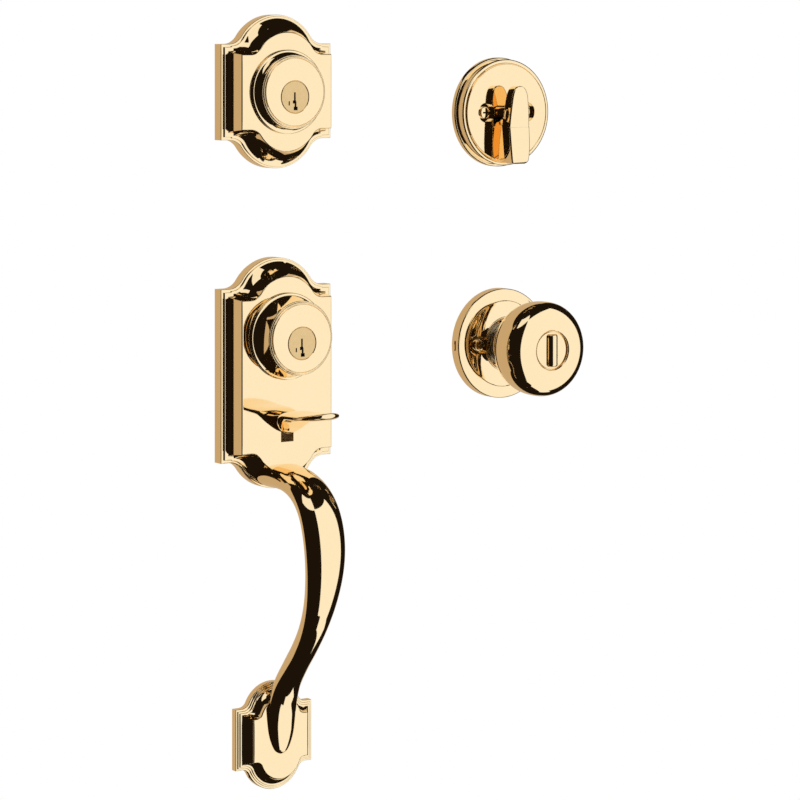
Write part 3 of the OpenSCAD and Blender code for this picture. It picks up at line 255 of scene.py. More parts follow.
def put(mesh_maker: bmesh.types.BMesh, name: str, material: bpy.types.Material, sharp: float = 38.0) -> bpy.types.Object:
    """Turns a finished bmesh into a shaded object with its place in its mesh.

    Args:
        mesh_maker: The mesh, in metres.
        name: The piece's name.
        material: Its material.
        sharp: Angle, in degrees, from which an edge stays crisp.

    Returns:
        The object.
    """
    bmesh.ops.remove_doubles(mesh_maker, verts=mesh_maker.verts, dist=1e-7)
    bmesh.ops.recalc_face_normals(mesh_maker, faces=mesh_maker.faces)
    mesh = bpy.data.meshes.new(name)
    mesh_maker.to_mesh(mesh)
    mesh_maker.free()
    for polygon in mesh.polygons:
        polygon.use_smooth = True
    mesh.set_sharp_from_angle(angle=math.radians(sharp))
    mesh.materials.append(material)
    piece = bpy.data.objects.new(name, mesh)
    bpy.context.scene.collection.objects.link(piece)
    return piece


def settle(piece: bpy.types.Object, body: Body, replaced: Sequence[str] = ()) -> bpy.types.Object:
    """Rides a piece on its body and hides the nodes that it stands for.

    Args:
        piece: The finished piece.
        body: The body that it moves with.
        replaced: The nodes that it stands for.

    Returns:
        The piece.
    """
    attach(piece, body.value)
    if replaced:
        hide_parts(*replaced)
    LOG.info("%s: %d faces on %s", piece.name, len(piece.data.polygons), body.value)
    return piece


def skin(maker: bmesh.types.BMesh, rings: Sequence[Sequence[Vector]], closed: bool = False) -> None:
    """Adds a closed surface through rings of points.

    Args:
        maker: The mesh that gets it.
        rings: Rings with the same number of points, in metres.
        closed: True where the last ring joins the first, otherwise both ends are capped.
    """
    rows = [[maker.verts.new(p) for p in ring] for ring in rings]
    count = len(rows[0])
    pairs = list(zip(rows, rows[1:])) + ([(rows[-1], rows[0])] if closed else [])
    for low, high in pairs:
        for i in range(count):
            j = (i + 1) % count
            maker.faces.new((low[i], low[j], high[j], high[i]))
    if not closed:
        maker.faces.new(list(reversed(rows[0])))
        maker.faces.new(rows[-1])


def turned(maker: bmesh.types.BMesh, place: Place, centre: Flat, section: Sequence[Flat], sides: int = 128) -> None:
    """Adds a solid of revolution round an axis that points out of the door.

    Args:
        maker: The mesh that gets it.
        place: The assembly's place.
        centre: The axis in the assembly's frame.
        section: Closed section as (radius, distance from the door), in millimetres.
        sides: Number of steps round.
    """
    rings = []
    for i in range(sides):
        angle = math.tau * i / sides
        rings.append([place.world((centre[0] + r * math.cos(angle), centre[1] + r * math.sin(angle), out))
                      for r, out in section])
    skin(maker, rings, closed=True)


def cut_away(piece: bpy.types.Object, cutters: Iterable[bpy.types.Object], sharp: float = 32.0) -> None:
    """Cuts other solids out of a piece and applies the result.

    Args:
        piece: The piece to cut.
        cutters: The solids, which are deleted afterwards.
        sharp: Angle, in degrees, from which an edge stays crisp.
    """
    for cutter in cutters:
        knife = piece.modifiers.new("cut", "BOOLEAN")
        knife.operation = "DIFFERENCE"
        knife.solver = "EXACT"
        knife.object = cutter
        mesh = bpy.data.meshes.new_from_object(piece.evaluated_get(bpy.context.evaluated_depsgraph_get()))
        piece.modifiers.remove(knife)
        piece.data = mesh
        bpy.data.objects.remove(cutter)
    maker = bmesh.new()
    maker.from_mesh(piece.data)
    bmesh.ops.dissolve_degenerate(maker, dist=1e-6, edges=maker.edges)
    maker.to_mesh(piece.data)
    maker.free()
    if "custom_normal" in piece.data.attributes:
        piece.data.attributes.remove(piece.data.attributes["custom_normal"])
    for polygon in piece.data.polygons:
        polygon.use_smooth = True
    piece.data.set_sharp_from_angle(angle=math.radians(sharp))


def block(place: Place, low: Point, high: Point, name: str = "cutter") -> bpy.types.Object:
    """Makes a plain box used only for cutting.

    Args:
        place: The assembly's place.
        low: Lowest corner in the assembly's frame.
        high: Highest corner.
        name: The object's name.

    Returns:
        The object.
    """
    maker = bmesh.new()
    base = [(low[0], low[1]), (high[0], low[1]), (high[0], high[1]), (low[0], high[1])]
    skin(maker, [[place.world((x, y, out)) for x, y in base] for out in (low[2], high[2])])
    bmesh.ops.recalc_face_normals(maker, faces=maker.faces)
    mesh = bpy.data.meshes.new(name)
    maker.to_mesh(mesh)
    maker.free()
    piece = bpy.data.objects.new(name, mesh)
    bpy.context.scene.collection.objects.link(piece)
    return piece


def rod(place: Place, centre: Flat, radius: float, low: float, high: float, sides: int = 128) -> bpy.types.Object:
    """Makes a plain cylinder used only for cutting.

    Args:
        place: The assembly's place.
        centre: Its axis in the assembly's frame.
        radius: Its radius.
        low: Its end nearer the door.
        high: Its other end.
        sides: Number of steps round.

    Returns:
        The object.
    """
    maker = bmesh.new()
    ring = [(centre[0] + radius * math.cos(math.tau * i / sides), centre[1] + radius * math.sin(math.tau * i / sides))
            for i in range(sides)]
    skin(maker, [[place.world((x, y, out)) for x, y in ring] for out in (low, high)])
    bmesh.ops.recalc_face_normals(maker, faces=maker.faces)
    mesh = bpy.data.meshes.new("cutter")
    maker.to_mesh(mesh)
    maker.free()
    piece = bpy.data.objects.new("cutter", mesh)
    bpy.context.scene.collection.objects.link(piece)
    return piece


def through(values: Sequence[Sequence[float]], per_span: int) -> list[list[float]]:
    """Smooth path through rows of numbers.

    Args:
        values: The rows that the path passes.
        per_span: Steps between two rows.

    Returns:
        The finer rows.
    """
    last = len(values) - 1
    rows = []
    for i in range(last):
        a, b, c, d = (values[max(i - 1, 0)], values[i], values[i + 1], values[min(i + 2, last)])
        for k in range(per_span):
            t = k / per_span
            rows.append([0.5 * (2 * q + (r - p) * t + (2 * p - 5 * q + 4 * r - s) * t * t
                                + (3 * q - p - 3 * r + s) * t ** 3) for p, q, r, s in zip(a, b, c, d)])
    rows.append(list(values[last]))
    return rows


def hollow(start: Flat, end: Flat, first: float, steps: int = 20) -> list[Flat]:
    """Hollow arc between two points of a section.

    Args:
        start: Its point nearer the door.
        end: Its point farther out.
        first: Angle, in degrees, between the front and the surface's normal at its start.
        steps: Number of steps.

    Returns:
        The points, without the first.
    """
    across, up = end[0] - start[0], end[1] - start[1]
    low = math.radians(first)
    last = 2 * math.atan2(up, abs(across)) - low
    reach = abs(across) / (math.sin(last) - math.sin(low))
    turns = [low + (last - low) * i / steps for i in range(1, steps + 1)]
    return [(start[0] + math.copysign(reach, across) * (math.sin(a) - math.sin(low)),
             start[1] + reach * (math.cos(low) - math.cos(a))) for a in turns]


def oval(half_w: float, half_t: float, roundness: float, count: int) -> list[Flat]:
    """Superellipse round the origin.

    Args:
        half_w: Half its width.
        half_t: Half its thickness.
        roundness: 1 for an ellipse and less for a squarer one.
        count: Number of points.

    Returns:
        The points.
    """
    points = []
    for i in range(count):
        c, s = math.cos(math.tau * i / count), math.sin(math.tau * i / count)
        points.append((half_w * math.copysign(abs(c) ** roundness, c), half_t * math.copysign(abs(s) ** roundness, s)))
    return points


# ---------------------------------------------------------------- node trees for turned and repeated forms


class Tree:
    """A geometry node tree with named inputs that ends in real mesh with its finish."""

    def __init__(self, name: str) -> None:
        """Starts a tree.

        Args:
            name: The tree's name.
        """
        self.group = bpy.data.node_groups.new(name, "GeometryNodeTree")
        self.group.interface.new_socket("Geometry", in_out="INPUT", socket_type="NodeSocketGeometry")
        self.group.interface.new_socket("Geometry", in_out="OUTPUT", socket_type="NodeSocketGeometry")
        self.given = self.group.nodes.new("NodeGroupInput")
        self.index = self.group.nodes.new("GeometryNodeInputIndex").outputs[0]

    def size(self, name: str, kind: str = "NodeSocketFloat") -> bpy.types.NodeSocket:
        """Adds a named input and gives its socket inside the tree."""
        self.group.interface.new_socket(name, in_out="INPUT", socket_type=kind)
        return self.given.outputs[name]

    def add(self, kind: str, inputs: dict[str, object], **options: object) -> bpy.types.Node:
        """Adds a node.

        Args:
            kind: The node's type.
            inputs: Sockets or plain values by input name.
            **options: The node's own options.

        Returns:
            The node.
        """
        node = self.group.nodes.new(kind)
        for key, value in options.items():
            setattr(node, key, value)
        for key, value in inputs.items():
            self.feed(node.inputs[key], value)
        return node

    def feed(self, socket: bpy.types.NodeSocket, value: object) -> None:
        """Links a socket to another, or gives it a plain value."""
        if isinstance(value, bpy.types.NodeSocket):
            self.group.links.new(value, socket)
        else:
            socket.default_value = value

    def sum(self, operation: str, *terms: object) -> bpy.types.NodeSocket:
        """Works out one step of arithmetic on sockets or numbers."""
        node = self.group.nodes.new("ShaderNodeMath")
        node.operation = operation
        for socket, value in zip(node.inputs, terms):
            self.feed(socket, value)
        return node.outputs[0]

    def sheet(self, rows: object, columns: object) -> tuple[bpy.types.NodeSocket, ...]:
        """Adds a sheet of faces to be bent to shape.

        Args:
            rows: Number of rows.
            columns: Number of points in a row.

        Returns:
            The sheet and each point's row and column.
        """
        grid = self.add("GeometryNodeMeshGrid", {"Vertices X": rows, "Vertices Y": columns})
        row = self.sum("FLOOR", self.sum("DIVIDE", self.sum("ADD", self.index, 0.25), columns))
        return grid.outputs["Mesh"], row, self.sum("SUBTRACT", self.index, self.sum("MULTIPLY", row, columns))

    def bend(self, sheet: bpy.types.NodeSocket, radius: object, angle: object, out: object) -> bpy.types.NodeSocket:
        """Puts a sheet's points at a radius, an angle and a distance out of the door, and closes its seams.

        Args:
            sheet: The sheet.
            radius: Each point's radius.
            angle: Its angle.
            out: Its distance out of the door.

        Returns:
            The closed mesh.
        """
        place = self.add("ShaderNodeCombineXYZ", {
            "X": self.sum("MULTIPLY", radius, self.sum("COSINE", angle)),
            "Y": self.sum("MULTIPLY", out, -1.0),
            "Z": self.sum("MULTIPLY", radius, self.sum("SINE", angle))})
        bent = self.add("GeometryNodeSetPosition", {"Geometry": sheet, "Position": place.outputs[0]})
        return self.add("GeometryNodeMergeByDistance",
                        {"Geometry": bent.outputs[0], "Distance": 1e-7}).outputs["Geometry"]

    def close(self, geometry: bpy.types.NodeSocket) -> None:
        """Ends the tree in real mesh with the finish that its input names."""
        real = self.add("GeometryNodeRealizeInstances", {"Geometry": geometry})
        dressed = self.add("GeometryNodeSetMaterial", {"Geometry": real.outputs[0],
                                                       "Material": self.size("Finish", "NodeSocketMaterial")})
        result = self.group.nodes.new("NodeGroupOutput")
        self.group.links.new(dressed.outputs[0], result.inputs["Geometry"])

    def grow(self, name: str, points: Sequence[Sequence[float]], finish: bpy.types.Material,
             values: dict[str, object], sharp: float = 38.0) -> bpy.types.Object:
        """Runs the tree on a row of points and keeps the mesh that it gives.

        Args:
            name: The piece's name.
            points: The points, in metres.
            finish: The piece's material.
            values: Values of the tree's inputs by name.
            sharp: Angle, in degrees, from which an edge stays crisp.

        Returns:
            The piece.
        """
        base = bpy.data.meshes.new(name + "_points")
        base.from_pydata([tuple(p) for p in points], [], [])
        seed = bpy.data.objects.new(name + "_points", base)
        bpy.context.scene.collection.objects.link(seed)
        modifier = seed.modifiers.new(self.group.name, "NODES")
        modifier.node_group = self.group
        for item in self.group.interface.items_tree:
            if item.in_out == "INPUT" and item.name in {**values, "Finish": finish}:
                modifier[item.identifier] = {**values, "Finish": finish}[item.name]
        mesh = bpy.data.meshes.new_from_object(seed.evaluated_get(bpy.context.evaluated_depsgraph_get()))
        seed.modifiers.remove(modifier)
        bpy.data.objects.remove(seed)
        maker = bmesh.new()
        maker.from_mesh(mesh)
        return put(maker, name, finish, sharp)


class TurnedTree(Tree):
    """Turns a section, given as points of radius and distance out, round the axis."""

    def __init__(self) -> None:
        """Builds the tree."""
        super().__init__("turned solid")
        around, count = self.size("Around", "NodeSocketInt"), self.size("Section Points", "NodeSocketInt")
        sheet, row, column = self.sheet(self.sum("ADD", around, 1.0), count)
        here = self.group.nodes.new("GeometryNodeInputPosition")
        found = self.add("GeometryNodeSampleIndex", {"Geometry": self.given.outputs["Geometry"],
                                                     "Value": here.outputs[0], "Index": column},
                         data_type="FLOAT_VECTOR", domain="POINT")
        part = self.add("ShaderNodeSeparateXYZ", {"Vector": found.outputs[0]})
        angle = self.sum("MULTIPLY", self.sum("DIVIDE", row, around), math.tau)
        self.close(self.bend(sheet, part.outputs["X"], angle, part.outputs["Z"]))

    def turn(self, name: str, place: Place, section: Sequence[Flat], finish: bpy.types.Material,
             around: int = 160) -> bpy.types.Object:
        """Turns one piece.

        Args:
            name: The piece's name.
            place: The assembly on whose axis it lies.
            section: Closed section as (radius, distance out), in millimetres.
            finish: Its material.
            around: Steps round.

        Returns:
            The piece.
        """
        loop = [*section, section[0]]
        piece = self.grow(name, [(r * MM, 0.0, out * MM) for r, out in loop], finish,
                          {"Around": around, "Section Points": len(loop)})
        piece.data.transform(Matrix.Translation(place.world((0.0, 0.0, 0.0))))
        return piece


class ThreadTree(Tree):
    """Threaded shank along the axis, with closed ends."""

    def __init__(self) -> None:
        """Builds the tree."""
        super().__init__("threaded shank")
        around, along = self.size("Around", "NodeSocketInt"), self.size("Along", "NodeSocketInt")
        low, high, core = self.size("Low"), self.size("High"), self.size("Core Radius")
        depth, pitch = self.size("Thread Depth"), self.size("Pitch")
        sheet, row, column = self.sheet(along, self.sum("ADD", around, 1.0))
        share = self.sum("DIVIDE", self.sum("SUBTRACT", row, 1.0), self.sum("SUBTRACT", along, 3.0))
        share = self.sum("MINIMUM", self.sum("MAXIMUM", share, 0.0), 1.0)
        out = self.sum("ADD", low, self.sum("MULTIPLY", share, self.sum("SUBTRACT", high, low)))
        turn = self.sum("DIVIDE", column, around)
        wave = self.sum("PINGPONG", self.sum("ADD", self.sum("DIVIDE", out, pitch), turn), 0.5)
        crest = self.sum("MINIMUM", self.sum("MULTIPLY", wave, 2.5), 1.0)
        last = self.sum("SUBTRACT", self.sum("SUBTRACT", along, 1.5), row)
        open_row = self.sum("MULTIPLY", self.sum("GREATER_THAN", row, 0.5), self.sum("GREATER_THAN", last, 0.0))
        radius = self.sum("MULTIPLY", open_row, self.sum("ADD", core, self.sum("MULTIPLY", depth, crest)))
        self.close(self.bend(sheet, radius, self.sum("MULTIPLY", turn, math.tau), out))


class CoilTree(Tree):
    """Spring of round wire along the axis, with closed ends."""

    def __init__(self) -> None:
        """Builds the tree."""
        super().__init__("wound spring")
        around, along = self.size("Around", "NodeSocketInt"), self.size("Along", "NodeSocketInt")
        turns, low, high = self.size("Turns"), self.size("Low"), self.size("High")
        coil, wire = self.size("Coil Radius"), self.size("Wire Radius")
        sheet, row, column = self.sheet(along, self.sum("ADD", around, 1.0))
        share = self.sum("DIVIDE", self.sum("SUBTRACT", row, 1.0), self.sum("SUBTRACT", along, 3.0))
        share = self.sum("MINIMUM", self.sum("MAXIMUM", share, 0.0), 1.0)
        last = self.sum("SUBTRACT", self.sum("SUBTRACT", along, 1.5), row)
        open_row = self.sum("MULTIPLY", self.sum("GREATER_THAN", row, 0.5), self.sum("GREATER_THAN", last, 0.0))
        wire = self.sum("MULTIPLY", wire, open_row)
        about = self.sum("MULTIPLY", self.sum("DIVIDE", column, around), math.tau)
        radius = self.sum("ADD", coil, self.sum("MULTIPLY", wire, self.sum("COSINE", about)))
        climb = self.sum("ADD", low, self.sum("MULTIPLY", share, self.sum("SUBTRACT", high, low)))
        out = self.sum("ADD", climb, self.sum("MULTIPLY", wire, self.sum("SINE", about)))
        angle = self.sum("MULTIPLY", self.sum("MULTIPLY", share, turns), math.tau)
        self.close(self.bend(sheet, radius, angle, out))


class PatternTree(Tree):
    """Sets a finished piece out at each given point."""

    def __init__(self) -> None:
        """Builds the tree."""
        super().__init__("set out at points")
        piece, tilt = self.size("Piece", "NodeSocketObject"), self.size("Tilt")
        source = self.add("GeometryNodeObjectInfo", {"Object": piece}, transform_space="ORIGINAL")
        spots = self.add("GeometryNodeMeshToPoints", {"Mesh": self.given.outputs["Geometry"]})
        turn = self.add("ShaderNodeCombineXYZ", {"X": tilt})
        copies = self.add("GeometryNodeInstanceOnPoints", {
            "Points": spots.outputs[0], "Instance": source.outputs["Geometry"], "Rotation": turn.outputs[0]})
        self.close(copies.outputs[0])

    def set_out(self, name: str, piece: bpy.types.Object, spots: Sequence[Sequence[float]],
                finish: bpy.types.Material, tilt: float = 0.0) -> bpy.types.Object:
        """Repeats a piece and deletes the original.

        Args:
            name: The name of the whole set.
            piece: The piece, built round the origin.
            spots: Where each copy goes, in metres.
            finish: Its material.
            tilt: Turn about the X axis, in radians.

        Returns:
            The set as one mesh.
        """
        result = self.grow(name, spots, finish, {"Piece": piece, "Tilt": tilt})
        bpy.data.objects.remove(piece)
        return result


# ---------------------------------------------------------------- moulded plates


@dataclass(frozen=True)
class Line:
    """Outline of a plate with an arch at each end, in millimetres.

    Attributes:
        half_w: Half its width.
        corner: Height of its upper corner.
        foot: Depth of its lower corner.
        rise: Rise of the arch above the corner.
        arch_r: Radius of the arch.
        hollow_r: Radius of the hollow between corner and arch.
    """

    half_w: float
    corner: float
    foot: float
    rise: float
    arch_r: float
    hollow_r: float

    def inset(self, by: float) -> "Line":
        """The same outline drawn in all round by a distance."""
        return Line(self.half_w - by, self.corner - by, self.foot - by, self.rise, self.arch_r - by, self.hollow_r)

    def end(self, corner: float, steps: int) -> list[Flat]:
        """Right half of one end: corner, shoulder, hollow and arch up to the apex.

        Args:
            corner: Height of the end's corner.
            steps: Steps on the arch.

        Returns:
            The points from the corner to the apex.
        """
        up = self.arch_r + self.hollow_r - self.rise
        shoulder = math.sqrt((self.arch_r + self.hollow_r) ** 2 - up ** 2)
        meet = math.atan2(up, shoulder)
        points = [(self.half_w, corner - 6.0), (self.half_w, corner)]
        points += [(shoulder + (self.half_w - shoulder) * f, corner) for f in (0.5, 0.0)]
        for i in range(1, steps // 2 + 1):
            angle = math.radians(270) + (math.pi + meet - math.radians(270)) * i / (steps // 2)
            points.append((shoulder + self.hollow_r * math.cos(angle),
                           corner + self.hollow_r + self.hollow_r * math.sin(angle)))
        for i in range(1, steps + 1):
            angle = meet + (math.pi / 2 - meet) * i / steps
            points.append((self.arch_r * math.cos(angle), corner + self.rise - self.arch_r + self.arch_r * math.sin(angle)))
        return points

    def points(self, steps: int = 24) -> list[Flat]:
        """Whole outline, from the lower apex up the right side and back down the left."""
        upper = self.end(self.corner, steps)
        lower = [(x, -y) for x, y in self.end(self.foot, steps)]
        right = list(reversed(lower)) + upper
        return right + [(-x, y) for x, y in reversed(right[1:-1])]


@dataclass(frozen=True)
class MouldedPlate:
    """A cast plate: upright band, small rounded step, hollow moulding and flat face.

    Attributes:
        centre_y: Height of its centre in the assembly's frame.
        line: Outline at the door.
        face: Outline of the flat face.
        band: Height of the upright band.
        depth: Distance of the flat face from the door.
        moulding: Shape of its moulding.
        ledges: Small steps above the band as distance in from the outline and height.
        start: Where the hollow starts, in from the outline.
        wall: Wall of the casting.
        soft: Radius of the softened edge round the flat face.
    """

    centre_y: float
    line: Line
    face: Line
    band: float
    depth: float
    moulding: Moulding
    ledges: tuple[Flat, ...]
    start: float
    wall: float = 2.6
    soft: float = 0.65

    def steps(self) -> list[Flat]:
        """Band and small steps, as distance in from the outline and from the door."""
        rows, level, r = [(0.0, 0.0), (0.0, self.band * 0.5)], self.band, 0.42
        for inward, out in ((0.0, self.band), *self.ledges):
            rows += [(inward, level)] if inward else []
            rows += [(inward + r * (1 - math.cos(math.radians(a))), out - r * (1 - math.sin(math.radians(a))))
                     for a in range(0, 91, 15)]
            level = out
        return [*rows, (self.start, level)]

    def rise(self, across: float) -> list[Flat]:
        """Hollow, and the wall above it where there is one, between the steps and the face.

        Args:
            across: Distance from the hollow's start to the face.

        Returns:
            Share of the way across and distance from the door.
        """
        foot, high, first = self.steps()[-1][1], self.depth - self.soft, math.radians(32)
        up, last = high - foot, math.radians(80.5)
        knee = (across, up)
        if self.moulding is Moulding.WALLED:
            lean = math.cos(last) / math.sin(last)
            reach = (across - lean * up) / (math.sin(last) - math.sin(first) - lean * (math.cos(first) - math.cos(last)))
            reach = max(0.2, reach)
            if reach * (math.cos(first) - math.cos(last)) < up:
                knee = (reach * (math.sin(last) - math.sin(first)), reach * (math.cos(first) - math.cos(last)))
        rows = [(x / across, foot + y) for x, y in hollow((0.0, 0.0), knee, math.degrees(first))]
        return rows + [((knee[0] + (across - knee[0]) * k / 4) / across, foot + knee[1] + (up - knee[1]) * k / 4)
                       for k in range(1, 5)]

    def build(self, maker: bmesh.types.BMesh, place: Place) -> None:
        """Adds the plate to a mesh.

        Args:
            maker: The mesh that gets it.
            place: The assembly's place.
        """
        outer, inner = self.line.points(), self.face.points()
        in_line, in_face = self.line.inset(self.wall + 0.6).points(), self.face.inset(self.wall).points()
        ledge, side = self.band - 2.2, self.line.half_w - self.face.half_w

        def ring(points: Sequence[Flat], out: float) -> list[Vector]:
            """Ring of an outline at one distance from the door."""
            return [place.world((x, y + self.centre_y, out)) for x, y in points]

        def between(low: Sequence[Flat], high: Sequence[Flat], shares: Sequence[float]) -> list[Flat]:
            """Outline between two others, at each point's own share."""
            return [(a[0] + (b[0] - a[0]) * t, a[1] + (b[1] - a[1]) * t) for a, b, t in zip(low, high, shares)]

        spread = [math.dist(a, b) if a[1] > self.line.corner + 0.01 or -a[1] > self.line.foot + 0.01
                  else max(abs(a[0] - b[0]), abs(a[1] - b[1])) for a, b in zip(outer, inner)]
        squeeze = [1.0 - 0.5 * min(1.0, max(0.0, (w - side) / 3.2)) for w in spread]
        rings = [ring(in_face, self.depth - self.wall), ring(in_face, ledge + 1), ring(in_line, ledge), ring(in_line, 0)]
        rings += [ring(between(outer, self.line.inset(inward).points(), squeeze), out) for inward, out in self.steps()]
        foot = between(outer, self.line.inset(self.start).points(), squeeze)
        curves = [self.rise(max(1.0, w - self.start * q)) for w, q in zip(spread, squeeze)]
        for k in range(len(curves[0])):
            line = between(foot, inner, [curve[k][0] for curve in curves])
            rings.append([place.world((x, y + self.centre_y, curve[k][1])) for (x, y), curve in zip(line, curves)])
        for i in range(1, 6):
            a = math.pi / 2 * i / 5
            rings.append(ring(self.face.inset(self.soft * (1 - math.cos(a))).points(),
                              self.depth - self.soft * (1 - math.sin(a))))
        rings.append(ring(self.face.inset(self.soft + 0.4).points(), self.depth))
        skin(maker, rings)


LARGE = Line(37.0, 27.4, 27.4, 16.8, 28.0, 10.0)
LARGE_FACE = Line(30.2, 21.4, 21.4, 12.8, 21.3, 8.0)
TALL = Line(37.0, 27.4, 71.6, 16.8, 28.0, 10.0)
TALL_FACE = Line(30.2, 21.4, 65.8, 12.8, 21.3, 8.0)
FOOT = Line(25.5, 17.5, 17.5, 13.4, 18.5, 5.0)
FOOT_FACE = Line(18.2, 12.4, 12.4, 11.2, 13.5, 4.0)


@dataclass
class Trim:
    """Outside trim: both cast plates, the grip and the thumb piece.

    Attributes:
        hole_r: Radius of the hole that a drum's body fills.
        slot: Half the width, top and foot of the thumb piece's slot.
        grip_roundness: Squareness of the grip's section.
        grip: Stations of the grip: distance out, height from the drum's centre, half width, half thickness.
        rest: Stations of the thumb piece: distance out of the flat face, height, half width, half thickness.
    """

    hole_r: float = 22.6
    slot: tuple[float, float, float] = (4.2, -40.6, -57.6)
    grip_roundness: float = 1.0
    grip: tuple[tuple[float, float, float, float], ...] = (
        (1.5, -79.6, 15.6, 8.0), (11, -80.0, 14.6, 7.6), (20, -80.4, 13.6, 7.2), (30, -81.8, 13.0, 7.0),
        (40, -85.4, 12.8, 7.0), (48, -91.2, 12.9, 7.0), (54, -99.4, 13.1, 7.0), (57.6, -110, 13.1, 7.0),
        (58.8, -122, 12.6, 6.9), (57.4, -135, 11.5, 6.8), (53.2, -149, 9.9, 6.7), (46.4, -162.5, 8.5, 6.6),
        (37.6, -175, 7.7, 6.5), (27.6, -187, 7.6, 6.4), (18.6, -199, 8.3, 6.1), (13.8, -211, 9.0, 5.2),
        (12.6, -221, 8.8, 4.4), (12.3, -228.5, 7.9, 4.0), (12.0, -234.5, 6.1, 3.4), (11.8, -238.2, 4.0, 2.6),
        (11.6, -240.0, 1.4, 1.2))
    rest: tuple[tuple[float, float, float, float], ...] = (
        (-4.0, 0.4, 3.5, 3.4), (0.6, 1.0, 4.0, 5.2), (3.4, 2.4, 8.2, 5.5), (7.0, 4.5, 11.2, 4.6),
        (11, 6.1, 12.1, 3.4), (15, 7.0, 12.2, 2.6), (21, 7.4, 12.5, 2.3), (27, 7.7, 12.5, 2.2), (34, 8.4, 12.2, 2.2),
        (39, 9.2, 10.2, 2.1), (42.2, 9.8, 7.2, 1.8), (43.6, 10.1, 4.4, 1.4), (44.0, 10.2, 2.2, 0.8))
    pivot_drop: float = 48.6
    pivot_out: float = 12.6
    face_out: float = 18.8

    def build(self, brass: bpy.types.Material) -> None:
        """Builds the trim's pieces.

        Args:
            brass: The polished finish.
        """
        self.rosette(brass)
        self.casting(brass)
        self.thumb(brass)

    def rosette(self, brass: bpy.types.Material) -> None:
        """Builds the deadbolt's cast rosette."""
        maker = bmesh.new()
        MouldedPlate(DRUM_RISE, LARGE, LARGE_FACE, 7.0, 18.8, Moulding.WALLED, ((1.8, 8.0),), 4.2).build(maker, ON_BOLT)
        piece = put(maker, "deadbolt_rosette_cast", brass)
        cut_away(piece, [rod(ON_BOLT, (0.0, DRUM_RISE), self.hole_r, -1.0, 20.0)])
        settle(piece, Body.FIXED, ["deadbolt_rosette"])

    def casting(self, brass: bpy.types.Material) -> None:
        """Builds the handle's casting: large plate, grip and base plate."""
        maker = bmesh.new()
        MouldedPlate(DRUM_RISE, TALL, TALL_FACE, 7.0, 18.8, Moulding.WALLED, ((1.8, 8.0),), 4.2).build(maker, ON_ENTRY)
        plate = put(maker, "handle_plate_cast", brass)
        half_w, top, foot = self.slot
        cut_away(plate, [rod(ON_ENTRY, (0.0, DRUM_RISE), self.hole_r, -1.0, 20.0),
                         block(ON_ENTRY, (-half_w, foot, 10.0), (half_w, top, 20.0))])
        settle(plate, Body.FIXED, ["handle_casting"])
        maker = bmesh.new()
        MouldedPlate(DRUM_RISE - 231.0, FOOT, FOOT_FACE, 4.2, 12.1, Moulding.HOLLOW, ((1.1, 4.9), (2.1, 5.6)), 3.1).build(maker, ON_ENTRY)
        settle(put(maker, "handle_base_cast", brass), Body.FIXED, ["handle_casting"])
        maker = bmesh.new()
        skin(maker, [self.grip_ring(row, ahead) for row, ahead in self.grip_rows()])
        settle(put(maker, "handle_grip_cast", brass, 60.0), Body.FIXED, ["handle_casting"])
        maker = bmesh.new()
        for side in (-1, 1):
            self.boss(maker, (side * 21.0, -30.0), 3.6, 1.8, 17.8)
            self.ear(maker, side)
        self.boss(maker, (0.0, DRUM_RISE - 231.0), 6.5, 2.0, 11.1)
        settle(put(maker, "handle_bosses_cast", brass), Body.FIXED, ["handle_casting"])

    def grip_rows(self) -> list[tuple[list[float], float]]:
        """Fine stations of the grip, each with the direction of the path there."""
        rows = through(self.grip, 6)
        angles = []
        for i in range(len(rows)):
            a, b = rows[max(i - 1, 0)], rows[min(i + 1, len(rows) - 1)]
            angles.append(math.atan2(b[1] - a[1], b[0] - a[0]))
        return list(zip(rows, angles))

    def grip_ring(self, row: Sequence[float], ahead: float) -> list[Vector]:
        """Ring of the grip square to its path.

        Args:
            row: One station.
            ahead: Direction of the path.

        Returns:
            The ring, in metres.
        """
        return [ON_ENTRY.world((x, DRUM_RISE + row[1] + t * math.cos(ahead), row[0] - t * math.sin(ahead)))
                for x, t in oval(row[2], row[3], self.grip_roundness, 64)]

    def boss(self, maker: bmesh.types.BMesh, centre: Flat, radius: float, low: float, high: float) -> None:
        """Adds a round boss with a hole behind the casting."""
        hole = radius * 0.43
        turned(maker, ON_ENTRY, centre, [(hole, low), (radius - 0.3, low), (radius, low + 0.3), (radius, high), (hole, high)], 48)

    def ear(self, maker: bmesh.types.BMesh, side: int) -> None:
        """Adds one ear that carries the thumb piece's pivot pin.

        Args:
            maker: The mesh that gets it.
            side: -1 for the left one and 1 for the right.
        """
        near, far = 4.8 * side, 7.2 * side
        outline = [(3.5, 17.8), (-3.5, 17.8)]
        outline += [(3.5 * math.cos(math.radians(a)), self.pivot_out + 3.5 * math.sin(math.radians(a)))
                    for a in range(180, 361, 15)]
        skin(maker, [[ON_ENTRY.world((x, y - self.pivot_drop, out)) for y, out in outline] for x in (near, far)])

